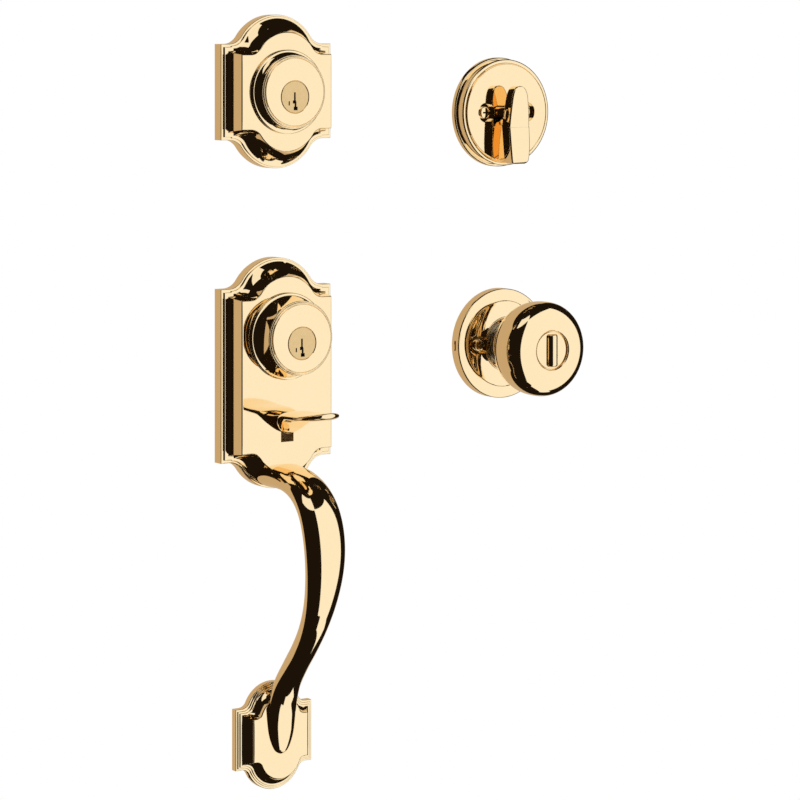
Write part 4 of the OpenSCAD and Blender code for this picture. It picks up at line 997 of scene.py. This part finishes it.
    def thumb(self, brass: bpy.types.Material) -> None:
        """Builds the thumb piece with its hub and the nose that lifts the slider."""
        maker = bmesh.new()
        rows = through(self.rest, 6)
        skin(maker, [[ON_ENTRY.world((x, row[1] + t - self.pivot_drop, self.face_out + row[0]))
                      for x, t in oval(row[2], row[3], 0.8, 48)] for row in rows])
        nose = (-7.4 * math.sin(math.radians(9)), self.pivot_out - 7.4 * math.cos(math.radians(9)))
        self.bar(maker, [(0.0, self.pivot_out, 3.2)])
        self.bar(maker, [(0.0, self.pivot_out, 2.6), (nose[0], nose[1], 1.3)])
        self.bar(maker, [(0.0, self.pivot_out, 2.6), (0.0, 15.8, 2.9)])
        settle(put(maker, "thumb_piece_cast", brass, 50.0), Body.THUMB, ["thumb_piece"])

    def bar(self, maker: bmesh.types.BMesh, rounds: Sequence[tuple[float, float, float]]) -> None:
        """Adds a level bar whose section wraps one or two circles.

        Args:
            maker: The mesh that gets it.
            rounds: Height, distance out and radius of each circle.
        """
        points = []
        for y, out, radius in rounds:
            points += [(y + radius * math.cos(math.tau * i / 32), out + radius * math.sin(math.tau * i / 32)) for i in range(32)]
        section = convex(points)
        half = 3.5
        skin(maker, [[ON_ENTRY.world((x, y - self.pivot_drop, out)) for y, out in section] for x in (-half, half)])


def convex(points: Sequence[Flat]) -> list[Flat]:
    """Convex outline round points.

    Args:
        points: The points.

    Returns:
        The outline in order.
    """
    ordered = sorted(set(points))

    def chain(items: Iterable[Flat]) -> list[Flat]:
        """One side of the outline."""
        kept: list[Flat] = []
        for p in items:
            while len(kept) > 1 and ((kept[-1][0] - kept[-2][0]) * (p[1] - kept[-2][1])
                                     - (kept[-1][1] - kept[-2][1]) * (p[0] - kept[-2][0])) <= 0:
                kept.pop()
            kept.append(p)
        return kept[:-1]

    return chain(ordered) + chain(reversed(ordered))


# ---------------------------------------------------------------- inside trim


@dataclass
class TurnPiece:
    """The inside turn piece with its short shaft.

    Attributes:
        front: Distance of its front from the door.
        depth: Its depth from front to back.
        stations: Height, half width, distance behind the foremost plane and share of the depth.
    """

    front: float = 25.0
    depth: float = 8.6
    stations: tuple[tuple[float, float, float, float], ...] = (
        (16, 0.8, 0.7, 0.68), (15.6, 2.4, 0.3, 0.78), (14.8, 3.5, 0.15, 0.82), (13.4, 4.5, 0.05, 0.85),
        (11, 5.4, 0, 0.88), (8, 6.0, 0.1, 0.9), (0, 6.9, 0.6, 0.94), (-8.6, 7.5, 1.2, 1.0),
        (-10, 7.5, 0.9, 1.0), (-20, 7.2, 0.1, 1.0), (-27.6, 6.5, 0.0, 1.0),
        (-29.7, 5.7, 0.5, 0.94), (-30.6, 4.5, 1.4, 0.8))
    shaft_r: float = 4.6

    def ring(self, row: Sequence[float]) -> list[Vector]:
        """Ring of the piece: a rectangle with rounded corners, level across it."""
        deep = self.depth * row[3] / 2
        corner = min(1.1, row[1] * 0.4)
        middle = self.front - row[2] - deep
        points = []
        for k, (sx, sy) in enumerate(((1, 1), (-1, 1), (-1, -1), (1, -1))):
            for i in range(7):
                a = math.radians(90 * k + 15 * i)
                points.append((sx * (row[1] - corner) + corner * math.cos(a), sy * (deep - corner) + corner * math.sin(a)))
        return [ON_TURN.world((x, row[0], middle + t)) for x, t in points]

    def build(self, brass: bpy.types.Material) -> None:
        """Builds the piece.

        Args:
            brass: The polished finish.
        """
        maker = bmesh.new()
        upper = through(self.stations[:8], 6)
        lower = through(self.stations[7:], 6)
        skin(maker, [self.ring(row) for row in upper + lower[1:]])
        turned(maker, ON_TURN, (0.0, 0.0), [(0.6, 2.4), (self.shaft_r, 2.4), (self.shaft_r, 18.4), (0.6, 18.4)], 64)
        settle(put(maker, "thumb_turn_cast", brass), Body.TURN, ["thumb_turn"])


@dataclass
class Knob:
    """The inside knob's shell and its turn button.

    Attributes:
        radius: Radius of its widest band.
        band: Where that band starts and ends, as distance from the door.
        front: Distance of its front from the door.
        shoulder: Radius of the rounded shoulder.
        lean: Angle, in degrees, at which the shoulder meets the dome.
        recess_r: Radius of the recess in the front.
        recess_depth: Its depth.
        collar: Radius and distance of the collar's bead.
        shank_r: Radius of the bore for the shank.
        bar: Half the length and half the width of the button's bar.
        rim: Radius of the rounded rim of the recess.
    """

    radius: float = 28.0
    band: Flat = (44.2, 47.0)
    front: float = 57.7
    shoulder: float = 9.0
    lean: float = 80.0
    recess_r: float = 11.4
    recess_depth: float = 3.2
    collar: Flat = (20.0, 24.6)
    shank_r: float = 10.44
    bar: Flat = (9.7, 3.6)
    rim: float = 1.3

    def build(self, brass: bpy.types.Material, lathe: TurnedTree) -> None:
        """Builds the shell and the button.

        Args:
            brass: The polished finish.
            lathe: The tree that turns sections.
        """
        shell = lathe.turn("knob_shell_turned", ON_KNOB, self.section(), brass, 192)
        settle(shell, Body.KNOB, ["knob_shell"])
        self.button(brass, lathe)

    def dome(self, r: float) -> float:
        """Distance of the domed front from the door at a radius."""
        lean = math.radians(self.lean)
        edge_r = self.radius - self.shoulder + self.shoulder * math.cos(lean)
        edge_out = self.band[1] + self.shoulder * math.sin(lean)
        return edge_out + (self.front - edge_out) * (1 - (r / edge_r) ** 2)

    def section(self) -> list[Flat]:
        """Closed section of the shell."""
        (collar_r, collar_out), floor = self.collar, self.front - self.recess_depth
        points = [(self.shank_r, collar_out - 2.6), (collar_r - 4.6, collar_out - 2.6)]
        points += [(collar_r - 1.6 + 1.6 * math.cos(math.radians(a)), collar_out + 1.6 * math.sin(math.radians(a)))
                   for a in range(250, 441, 10)]
        points += [(collar_r - 1.75, collar_out + 1.9), (collar_r - 1.6, collar_out + 2.5), (collar_r - 1.0, collar_out + 3.2)]
        points += [(collar_r + 0.6 + (self.radius - collar_r - 0.6) * math.sin(math.radians(a)),
                    self.band[0] - 0.4 - (self.band[0] - 4.8 - collar_out) * math.cos(math.radians(a)))
                   for a in range(0, 88, 4)]
        points += [(self.radius, self.band[0] + 0.6), (self.radius, sum(self.band) / 2), (self.radius, self.band[1])]
        points += [(self.radius - self.shoulder + self.shoulder * math.cos(math.radians(a)),
                    self.band[1] + self.shoulder * math.sin(math.radians(a))) for a in range(4, int(self.lean) + 1, 4)]
        rim = self.recess_r + self.rim
        edge = self.radius - self.shoulder + self.shoulder * math.cos(math.radians(self.lean))
        points += [(edge + (rim - edge) * k / 8, self.dome(edge + (rim - edge) * k / 8)) for k in range(1, 9)]
        top = self.dome(rim) - self.rim
        points += [(rim - self.rim * math.sin(math.radians(a)), top + self.rim * math.cos(math.radians(a)))
                   for a in range(10, 91, 10)]
        points += [(self.recess_r, floor), (3.4, floor), (3.4, self.band[0] + 1), (self.shank_r, self.band[0] + 1)]
        return points

    def button(self, brass: bpy.types.Material, lathe: TurnedTree) -> None:
        """Builds the turn button: a thin disc with an upright half-round bar."""
        floor, disc_r = self.front - self.recess_depth, self.recess_r - 0.5
        low, high = floor + 0.1, floor + 1.3
        disc = lathe.turn("turn_button_disc", ON_KNOB, [
            (1.6, floor - 6), (3.2, floor - 6), (3.2, low), (disc_r - 0.2, low), (disc_r, low + 0.2), (disc_r, high - 0.4),
            (disc_r - 0.12, high - 0.12), (disc_r - 0.4, high), (1.6, high)], brass)
        settle(disc, Body.BUTTON, ["turn_button"])
        maker = bmesh.new()
        half_len, half_w = self.bar
        rings = []
        for k in range(-16, 17):
            y = half_len * math.sin(math.pi / 2 * k / 16)
            end = max(0.0, abs(y) - (half_len - 1.2)) / 1.2
            fall = 1 - math.sqrt(max(0.0, 1 - end ** 2))
            width, rise = half_w * (1 - 0.35 * fall), (half_w + 0.1) * (1 - 0.45 * fall)
            rings.append([ON_KNOB.world((width * math.cos(math.pi * i / 24), y, high - 0.1 + rise * math.sin(math.pi * i / 24)))
                          for i in range(25)])
        skin(maker, rings)
        settle(put(maker, "turn_button_bar", brass), Body.BUTTON, ["turn_button"])


@dataclass
class Fastenings:
    """Through screws, chassis screws and the small wound springs.

    Attributes:
        shank_r: Outer radius of a through screw's thread.
        head_r: Radius of its head.
        head_h: Height of its head.
        reach: How far it reaches into the door.
        pitch: Pitch of its thread.
        turn_seat: Seat of the turn's screws.
        knob_seat: Seat of the knob's screws.
    """

    shank_r: float = 1.95
    head_r: float = 3.6
    head_h: float = 1.9
    reach: float = 15.0
    pitch: float = 0.8
    turn_seat: float = 8.22
    knob_seat: float = 7.22

    def build(self, brass: bpy.types.Material, lathe: TurnedTree) -> None:
        """Builds every screw and spring.

        Args:
            brass: The polished finish.
            lathe: The tree that turns sections.
        """
        thread, pattern = ThreadTree(), PatternTree()
        zinc, steel = ZINC.material(), STEEL.material()
        for name, place, seat, half, body in (("turn_screws", ON_TURN, self.turn_seat, 15.0, Body.FIXED),
                                              ("knob_screws", ON_KNOB, self.knob_seat, 18.7, Body.FIXED)):
            screw = self.screw(brass, lathe, thread, self.head_section(seat), seat + self.head_h, self.shank_r,
                               (-self.reach, seat), 4.2)
            spots = [place.world((side * half, 0.0, 0.0)) for side in (-1, 1)]
            settle(pattern.set_out(name + "_threaded", screw, spots, brass), body, [name])
        flat_head = [(0.4, 0.2), (0.4, -1.2), (2.1, -1.2), (2.5, -1.05), (2.7, -0.8), (2.7, 0.2)]
        screw = self.screw(zinc, lathe, thread, flat_head, -1.2, 1.5, (0.2, 8.3), 3.4)
        spots = [ON_ENTRY.world(at) for at in ((-14, 13.5, 0), (14, 13.5, 0), (-21, -30, 0), (21, -30, 0))]
        settle(pattern.set_out("chassis_screws_threaded", screw, spots, zinc), Body.FIXED, ["chassis_screws"])
        coil = CoilTree()
        ring = coil.grow("knob_return_spring_wound", [(0, 0, 0)], steel, {
            "Around": 12, "Along": 220, "Turns": 3.0, "Low": 2.45 * MM, "High": 5.15 * MM,
            "Coil Radius": 14.6 * MM, "Wire Radius": 0.45 * MM}, 60.0)
        ring.data.transform(Matrix.Translation(ON_KNOB.world((0.0, 0.0, 0.0))))
        settle(ring, Body.FIXED, ["knob_return_spring"])
        for name, place, face, body in (("deadbolt", ON_BOLT, 27.2, Body.DEADBOLT_PLUG),
                                        ("entry", ON_ENTRY, 34.8, Body.ENTRY_PLUG)):
            small = coil.grow(name + "_coil", [(0, 0, 0)], steel, {
                "Around": 8, "Along": 60, "Turns": 3.0, "Low": 0.16 * MM, "High": 1.64 * MM,
                "Coil Radius": 0.95 * MM, "Wire Radius": 0.16 * MM}, 60.0)
            spots = [place.world((0.0, 6.05, face - 4.4 - 3.8 * i)) for i in range(5)]
            settle(pattern.set_out(name + "_follower_springs_wound", small, spots, steel, -math.pi / 2),
                   body, [name + "_follower_springs"])

    def head_section(self, seat: float) -> list[Flat]:
        """Section of an oval head that sits at a height."""
        r, top = self.head_r, seat + self.head_h
        dome = [(r * math.cos(math.radians(a)), top - 0.8 + 0.8 * math.sin(math.radians(a))) for a in range(0, 88, 8)]
        return [(0.1, seat), (r - 0.1, seat), (r, seat + 0.1), *dome, (0.1, top)]

    def screw(self, finish: bpy.types.Material, lathe: TurnedTree, thread: ThreadTree, head: Sequence[Flat],
              top: float, shank_r: float, shank: Flat, cross: float) -> bpy.types.Object:
        """Builds one screw round the origin.

        Args:
            finish: Its material.
            lathe: The tree that turns the head.
            thread: The tree that makes the shank.
            head: Section of the head.
            top: Height of the head's outer face.
            shank_r: Outer radius of the thread.
            shank: Where the shank starts and ends.
            cross: Width of the cross recess.

        Returns:
            The screw.
        """
        centre = Place(0.0, 0.0)
        piece = lathe.turn("screw_head", centre, head, finish, 64)
        half = 0.5 if cross > 4 else 0.4
        cut_away(piece, [block(centre, (-cross / 2, -half, top - 1.1), (cross / 2, half, top + 1.1)),
                         block(centre, (-half, -cross / 2, top - 1.1), (half, cross / 2, top + 1.1))])
        stem = thread.grow("screw_shank", [(0, 0, 0)], finish, {
            "Around": 24, "Along": int((shank[1] - shank[0]) / self.pitch * 6) + 3, "Low": shank[0] * MM,
            "High": shank[1] * MM, "Core Radius": (shank_r - 0.45) * MM, "Thread Depth": 0.45 * MM,
            "Pitch": self.pitch * MM}, 50.0)
        maker = bmesh.new()
        maker.from_mesh(piece.data)
        maker.from_mesh(stem.data)
        for part in (piece, stem):
            bpy.data.objects.remove(part)
        return put(maker, "screw", finish)


# ---------------------------------------------------------------- carried-over solids


class SmoothSkin:
    """Node tree that joins a solid's loose triangles and keeps its corners crisp."""

    def __init__(self, angle: float = 32.0) -> None:
        """Builds the tree.

        Args:
            angle: Angle in degrees from which an edge stays crisp.
        """
        tree = bpy.data.node_groups.new("joined skin", "GeometryNodeTree")
        tree.interface.new_socket("Geometry", in_out="INPUT", socket_type="NodeSocketGeometry")
        crisp = tree.interface.new_socket("Crisp Angle", in_out="INPUT", socket_type="NodeSocketFloat")
        crisp.default_value = math.radians(angle)
        tree.interface.new_socket("Geometry", in_out="OUTPUT", socket_type="NodeSocketGeometry")
        given, result = tree.nodes.new("NodeGroupInput"), tree.nodes.new("NodeGroupOutput")
        merge = tree.nodes.new("GeometryNodeMergeByDistance")
        merge.inputs["Distance"].default_value = 1e-6
        smooth = tree.nodes.new("GeometryNodeSetShadeSmooth")
        corner = tree.nodes.new("GeometryNodeSetShadeSmooth")
        corner.domain = "EDGE"
        corner.inputs["Shade Smooth"].default_value = False
        bend = tree.nodes.new("GeometryNodeInputMeshEdgeAngle")
        over = tree.nodes.new("FunctionNodeCompare")
        over.operation = "GREATER_THAN"
        link = tree.links.new
        link(given.outputs["Geometry"], merge.inputs["Geometry"])
        link(merge.outputs["Geometry"], smooth.inputs["Geometry"])
        link(smooth.outputs["Geometry"], corner.inputs["Geometry"])
        link(bend.outputs["Unsigned Angle"], over.inputs[0])
        link(given.outputs["Crisp Angle"], over.inputs[1])
        link(over.outputs["Result"], corner.inputs["Selection"])
        link(corner.outputs["Geometry"], result.inputs["Geometry"])
        self.tree = tree

    def lay(self, piece: bpy.types.Object) -> None:
        """Puts the tree on a solid as a modifier."""
        modifier = piece.modifiers.new("joined skin", "NODES")
        modifier.node_group = self.tree


@dataclass
class Turned:
    """Drums and rosettes, turned afresh with their fine beads and grooves.

    Attributes:
        face_r: Radius of a drum's flat face.
        body_r: Radius of a drum's body inside the plate.
        plate: Distance of a plate's face from the door.
        inside: Where a drum's turned part starts inside the plate.
        plug_r: Radius of the plug's bore.
        rosette_r: Radius of both inside rosettes.
        turn_face_r: Radius of the turn rosette's flat face.
    """

    face_r: float = 19.3
    body_r: float = 22.4
    plate: float = 18.8
    inside: float = 14.0
    plug_r: float = 9.25
    rosette_r: float = 33.0
    turn_face_r: float = 29.1

    def build(self, brass: bpy.types.Material, lathe: TurnedTree) -> None:
        """Builds the drums and the rosettes.

        Args:
            brass: The polished finish.
            lathe: The tree that turns sections.
        """
        self.drum("deadbolt", ON_BOLT, 24.1, 27.2, brass, lathe)
        self.drum("entry", ON_ENTRY, 24.9, 34.8, brass, lathe)
        self.turn_rosette(brass, lathe)
        self.knob_rosette(brass, lathe)

    def drum(self, name: str, place: Place, foot_r: float, face: float, brass: bpy.types.Material,
             lathe: TurnedTree) -> None:
        """Turns a drum's front and keeps the solid's own back.

        Args:
            name: Start of the node's name.
            place: The assembly's place.
            foot_r: Radius of the drum's foot.
            face: Distance of its face from the door.
            brass: The polished finish.
            lathe: The tree that turns sections.
        """
        node, centre = name + "_cylinder_body", Place(0.0, place.z + DRUM_RISE)
        maker = bmesh.new()
        maker.from_mesh(frame["nodes"][node].data)
        back = put(maker, name + "_cylinder_back", brass, 32.0)
        cut_away(back, [rod(centre, (0.0, 0.0), 40.0, self.inside, 60.0)])
        settle(back, Body.FIXED, [node])
        front = lathe.turn(name + "_drum_turned", centre, self.drum_section(foot_r, face), brass, 192)
        bore = [(0.2, 5.0), (self.plug_r, 5.0), (self.plug_r, face - 0.3), (self.plug_r + 0.6, face + 0.3), (0.2, face + 0.3)]
        cut_away(front, [lathe.turn("cutter", place, bore, brass, 128)])
        settle(front, Body.FIXED, [node])

    def drum_section(self, foot_r: float, face: float) -> list[Flat]:
        """Section of a drum: foot bead, flared waist and two fine beads round the face."""
        foot, r = self.plate + 0.95, self.face_r
        points = [(4.0, self.inside), (self.body_r, self.inside), (self.body_r, self.plate + 0.1)]
        points += [(foot_r - 0.8 + 0.85 * math.cos(math.radians(a)), foot + 0.85 * math.sin(math.radians(a)))
                   for a in range(-80, 96, 12)]
        low, high = (foot_r - 1.5, self.plate + 2.1), (20.2, face - 2.5)
        first = 2 * math.degrees(math.atan2(high[1] - low[1], low[0] - high[0])) - 88
        points += [low, *hollow(low, high, first)]
        points += [(r + 1.4 + 0.5 * math.cos(math.radians(a)), face - 1.75 + 0.5 * math.sin(math.radians(a)))
                   for a in range(-90, 121, 15)]
        points += [(r + 0.75 + 0.45 * math.cos(math.radians(a)), face - 1.0 + 0.45 * math.sin(math.radians(a)))
                   for a in range(0, 181, 15)]
        return [*points, (r, face - 0.9), (r, face - 0.12), (r - 0.12, face), (4.0, face)]

    def turn_rosette(self, brass: bpy.types.Material, lathe: TurnedTree) -> None:
        """Turns the turn's rosette and cuts its recesses."""
        r, face, edge = self.rosette_r, 10.6, self.turn_face_r
        section = [(r - 1.5, 0.0), (r, 0.0), (r, 2.2)]
        section += [(r - 1 + math.cos(math.radians(a)), 2.2 + math.sin(math.radians(a))) for a in range(12, 97, 12)]
        section += [(r - 1.6, 3.2), (r - 1.6, 7.9)]
        section += [(30.7 + 1.3 * math.cos(math.radians(a)), 9.2 + math.sin(math.radians(a))) for a in range(-56, 161, 12)]
        section += [(edge, 9.5), (edge, face - 0.12), (edge - 0.12, face), (4.66, face), (4.66, 9.1), (r - 3.1, 9.1)]
        piece = lathe.turn("turn_rosette_turned", ON_TURN, section, brass, 192)
        cut_away(piece, [rod(ON_TURN, (side * 15.0, 0.0), 6.0, 5.0, 20.0, 96) for side in (-1, 1)])
        settle(piece, Body.FIXED, ["turn_rosette"])
        self.cups("turn_rosette_cups", ON_TURN, 15.0, (2.2, 6.0, 7.2), (7.0, 8.2, 10.0), brass)

    def knob_rosette(self, brass: bpy.types.Material, lathe: TurnedTree) -> None:
        """Turns the knob's rosette and cuts its recesses and its slot."""
        r = self.rosette_r
        section = [(r - 1.5, 0.0), (r, 0.0), (r, 6.0)]
        section += [(r - 0.9 + 0.9 * math.cos(math.radians(a)), 6.0 + 0.9 * math.sin(math.radians(a)))
                    for a in range(15, 85, 15)]
        section += [(r - 0.9 - 5.9 * k / 6, 6.9 + 1.5 * math.sin(math.pi / 2 * k / 6)) for k in range(7)]
        section += [(25.9, 8.4), (25.7, 8.3), (25.5, 7.95)]
        section += [(25.5 - 8.9 * k / 10, 7.95 + 2.6 * (k / 10) ** 2) for k in range(1, 11)]
        section += [(15.8 + 0.8 * math.cos(math.radians(a)), 10.6 + 0.45 * math.sin(math.radians(a)))
                    for a in range(15, 181, 15)]
        section += [(12.8, 10.6), (12.8, 8.7), (16.6, 8.6), (r - 1.5, 5.3)]
        piece = lathe.turn("knob_rosette_turned", ON_KNOB, section, brass, 192)
        cut_away(piece, [rod(ON_KNOB, (side * 18.7, 0.0), 5.5, 5.0, 20.0, 96) for side in (-1, 1)]
                 + [block(ON_KNOB, (-r - 1, -3.0, 2.5), (-r + 1.6, 3.0, 4.1))])
        settle(piece, Body.FIXED, ["knob_rosette"])
        self.cups("knob_rosette_cups", ON_KNOB, 18.7, (2.2, 5.5, 6.7), (6.0, 7.2, 8.5), brass)

    def cups(self, name: str, place: Place, half: float, radii: Point, heights: Point,
             brass: bpy.types.Material) -> None:
        """Builds the two cups that the screws' heads sit in.

        Args:
            name: The piece's name.
            place: The assembly's place.
            half: Half the distance between the screws.
            radii: Radius of the hole, the recess and the cup.
            heights: Height of the cup's back, its floor and its rim.
            brass: The polished finish.
        """
        maker = bmesh.new()
        (hole, recess, cup), (back, floor, rim) = radii, heights
        for side in (-1, 1):
            turned(maker, place, (side * half, 0.0),
                   [(hole, back), (cup, back), (cup, rim), (recess, rim), (recess, floor), (hole, floor)], 96)
        settle(put(maker, name, brass), Body.FIXED, ["turn_rosette" if "turn" in name else "knob_rosette"])


@dataclass
class CarriedOver:
    """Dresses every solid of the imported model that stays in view."""

    brass: bpy.types.Material
    smooth: SmoothSkin = field(default_factory=SmoothSkin)

    def build(self) -> None:
        """Gives each solid its finish and its smooth skin."""
        steel, zinc = STEEL.material(), ZINC.material()
        above, below = satin(ON_BOLT).material(), satin(ON_ENTRY).material()
        for row in frame["record"]["subparts"]:
            name, slot = row["node"], row["material_slot"]
            finish = {Slot.POLISHED.value: self.brass, Slot.SPRING.value: steel, Slot.ZINC.value: zinc}.get(
                slot, above if name.startswith("deadbolt") else below)
            piece = frame["nodes"][name]
            piece.data.materials.clear()
            piece.data.materials.append(finish)
            self.smooth.lay(piece)
            LOG.info("%s: dressed in %s", name, finish.name)


# ---------------------------------------------------------------- studio


@dataclass(frozen=True)
class Card:
    """A card of the studio: part of a sphere round the object that only mirrors see.

    Attributes:
        name: The card's name.
        azimuth: Range in degrees, from the front towards the right.
        elevation: Range in degrees.
        colour: Its colour, linear.
        radius: Its distance in metres.
    """

    name: str
    azimuth: Flat
    elevation: Flat
    colour: tuple[float, float, float]
    radius: float = 1.2

    def build(self, centre: Vector) -> None:
        """Hangs the card round a point.

        Args:
            centre: The middle of the object.
        """
        maker = bmesh.new()
        across = max(2, int((self.azimuth[1] - self.azimuth[0]) / 5))
        upward = max(2, int((self.elevation[1] - self.elevation[0]) / 5))
        rows = []
        for j in range(upward + 1):
            high = math.radians(self.elevation[0] + (self.elevation[1] - self.elevation[0]) * j / upward)
            row = []
            for i in range(across + 1):
                turn = math.radians(self.azimuth[0] + (self.azimuth[1] - self.azimuth[0]) * i / across)
                row.append(maker.verts.new(centre + self.radius * Vector(
                    (math.sin(turn) * math.cos(high), -math.cos(turn) * math.cos(high), math.sin(high)))))
            rows.append(row)
        for low, high_row in zip(rows, rows[1:]):
            for i in range(across):
                maker.faces.new((low[i], low[i + 1], high_row[i + 1], high_row[i]))
        nodes = Nodes(self.name)
        glow = nodes.add("ShaderNodeEmission")
        glow.inputs["Color"].default_value = (*self.colour, 1.0)
        out = nodes.add("ShaderNodeOutputMaterial")
        nodes.link(glow.outputs["Emission"], out.inputs["Surface"])
        mesh = bpy.data.meshes.new(self.name)
        maker.to_mesh(mesh)
        maker.free()
        mesh.materials.append(nodes.material)
        card = bpy.data.objects.new(self.name, mesh)
        bpy.context.scene.collection.objects.link(card)
        card.visible_camera = False
        card.visible_diffuse = False
        card.visible_shadow = False
        card.visible_transmission = False


@dataclass
class Studio:
    """Camera, lamps, white ground and the cards that the brass mirrors.

    Attributes:
        camera_at: The camera's place, in metres.
        yaw: Its turn to the right, in degrees.
        lens: Its focal length, in millimetres.
        shift: Its vertical shift.
    """

    camera_at: Point = (-0.922, -1.501, 0.179)
    yaw: float = 34.0
    lens: float = 137.25
    shift: float = -0.465
    centre: Point = (0.08, -0.02, -0.03)
    cards: tuple[Card, ...] = (
        Card("dark room", (-180, 180), (-89.5, 89.5), (0.012, 0.008, 0.005), 1.3),
        Card("front softbox", (-6, 67), (-57, 48), (1.03, 1.05, 1.08)),
        Card("upper softbox", (-72, -4), (46, 68), (1.0, 1.0, 1.0)),
        Card("warm wall", (131, 240), (-42, 42), (0.60, 0.47, 0.32)),
        Card("lower softbox", (14, 84), (-66, -50), (1.03, 1.05, 1.08), 1.19),
    )

    def build(self) -> None:
        """Builds the studio."""
        self.camera()
        centre = Vector(self.centre)
        for card in self.cards:
            card.build(centre)
        self.lamp("key lamp", (-0.55, -0.85, 1.1), 14.0, 0.5)
        self.lamp("fill lamp", (0.9, -1.0, 0.1), 10.0, 0.7)
        self.ground()
        self.world()
        bpy.context.scene.view_settings.view_transform = "Standard"

    def camera(self) -> None:
        """Sets the camera at the photograph's viewing angle."""
        data = bpy.data.cameras.new("camera")
        data.lens = self.lens
        data.sensor_width = 36.0
        data.shift_y = self.shift
        data.clip_start, data.clip_end = 0.05, 20.0
        camera = bpy.data.objects.new("camera", data)
        camera.location = self.camera_at
        camera.rotation_euler = (math.radians(90), 0.0, -math.radians(self.yaw))
        bpy.context.scene.collection.objects.link(camera)
        bpy.context.scene.camera = camera

    def lamp(self, name: str, at: Point, power: float, size: float) -> None:
        """Adds a soft square lamp aimed at the object.

        Args:
            name: The lamp's name.
            at: Its place.
            power: Its power in watts.
            size: Its side in metres.
        """
        data = bpy.data.lights.new(name, "AREA")
        data.energy = power
        data.size = size
        lamp = bpy.data.objects.new(name, data)
        lamp.location = at
        aim = Vector(self.centre) - Vector(at)
        lamp.rotation_euler = aim.to_track_quat("-Z", "Y").to_euler()
        lamp.visible_glossy = False
        bpy.context.scene.collection.objects.link(lamp)

    def ground(self) -> None:
        """Lays a plain pale floor well below the object."""
        maker = bmesh.new()
        side = 8.0
        maker.faces.new([maker.verts.new((x, y, -1.4)) for x, y in
                         ((-side, -side), (side, -side), (side, side), (-side, side))])
        nodes = Nodes("pale floor")
        plain = nodes.add("ShaderNodeBsdfDiffuse")
        plain.inputs["Color"].default_value = (0.85, 0.85, 0.85, 1.0)
        white = nodes.add("ShaderNodeEmission")
        rays = nodes.add("ShaderNodeLightPath")
        seen = nodes.add("ShaderNodeMath", operation="MAXIMUM")
        either = nodes.add("ShaderNodeMath", operation="MAXIMUM")
        nodes.link(rays.outputs["Is Camera Ray"], seen.inputs[0])
        nodes.link(rays.outputs["Is Glossy Ray"], seen.inputs[1])
        nodes.link(seen.outputs[0], either.inputs[0])
        nodes.link(rays.outputs["Is Transmission Ray"], either.inputs[1])
        mixed = nodes.add("ShaderNodeMixShader")
        nodes.link(either.outputs[0], mixed.inputs[0])
        nodes.link(plain.outputs["BSDF"], mixed.inputs[1])
        nodes.link(white.outputs["Emission"], mixed.inputs[2])
        out = nodes.add("ShaderNodeOutputMaterial")
        nodes.link(mixed.outputs["Shader"], out.inputs["Surface"])
        mesh = bpy.data.meshes.new("floor")
        maker.to_mesh(mesh)
        maker.free()
        mesh.materials.append(nodes.material)
        floor = bpy.data.objects.new("floor", mesh)
        bpy.context.scene.collection.objects.link(floor)

    def world(self) -> None:
        """Sets a white world: full to the eye and to mirrors, soft for the light that it gives."""
        world = bpy.data.worlds.new("white studio")
        world.use_nodes = True
        bpy.context.scene.world = world
        tree = world.node_tree
        ground = tree.nodes["Background"]
        ground.inputs["Color"].default_value = (1.0, 1.0, 1.0, 1.0)
        rays = tree.nodes.new("ShaderNodeLightPath")
        seen = tree.nodes.new("ShaderNodeMath")
        seen.operation = "MAXIMUM"
        either = tree.nodes.new("ShaderNodeMath")
        either.operation = "MAXIMUM"
        level = tree.nodes.new("ShaderNodeMapRange")
        level.inputs["To Min"].default_value = 0.7
        tree.links.new(rays.outputs["Is Camera Ray"], seen.inputs[0])
        tree.links.new(rays.outputs["Is Glossy Ray"], seen.inputs[1])
        tree.links.new(seen.outputs[0], either.inputs[0])
        tree.links.new(rays.outputs["Is Transmission Ray"], either.inputs[1])
        tree.links.new(either.outputs[0], level.inputs["Value"])
        tree.links.new(level.outputs["Result"], ground.inputs["Strength"])


def main() -> None:
    """Builds the studio, the cast pieces and the finishes."""
    logging.basicConfig(level=logging.INFO, format="%(name)s %(message)s")
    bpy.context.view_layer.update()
    Studio().build()
    brass = POLISHED.material()
    CarriedOver(brass).build()
    Trim().build(brass)
    TurnPiece().build(brass)
    lathe = TurnedTree()
    Knob().build(brass, lathe)
    Fastenings().build(brass, lathe)
    Turned().build(brass, lathe)


if __name__ == "__main__":
    main()
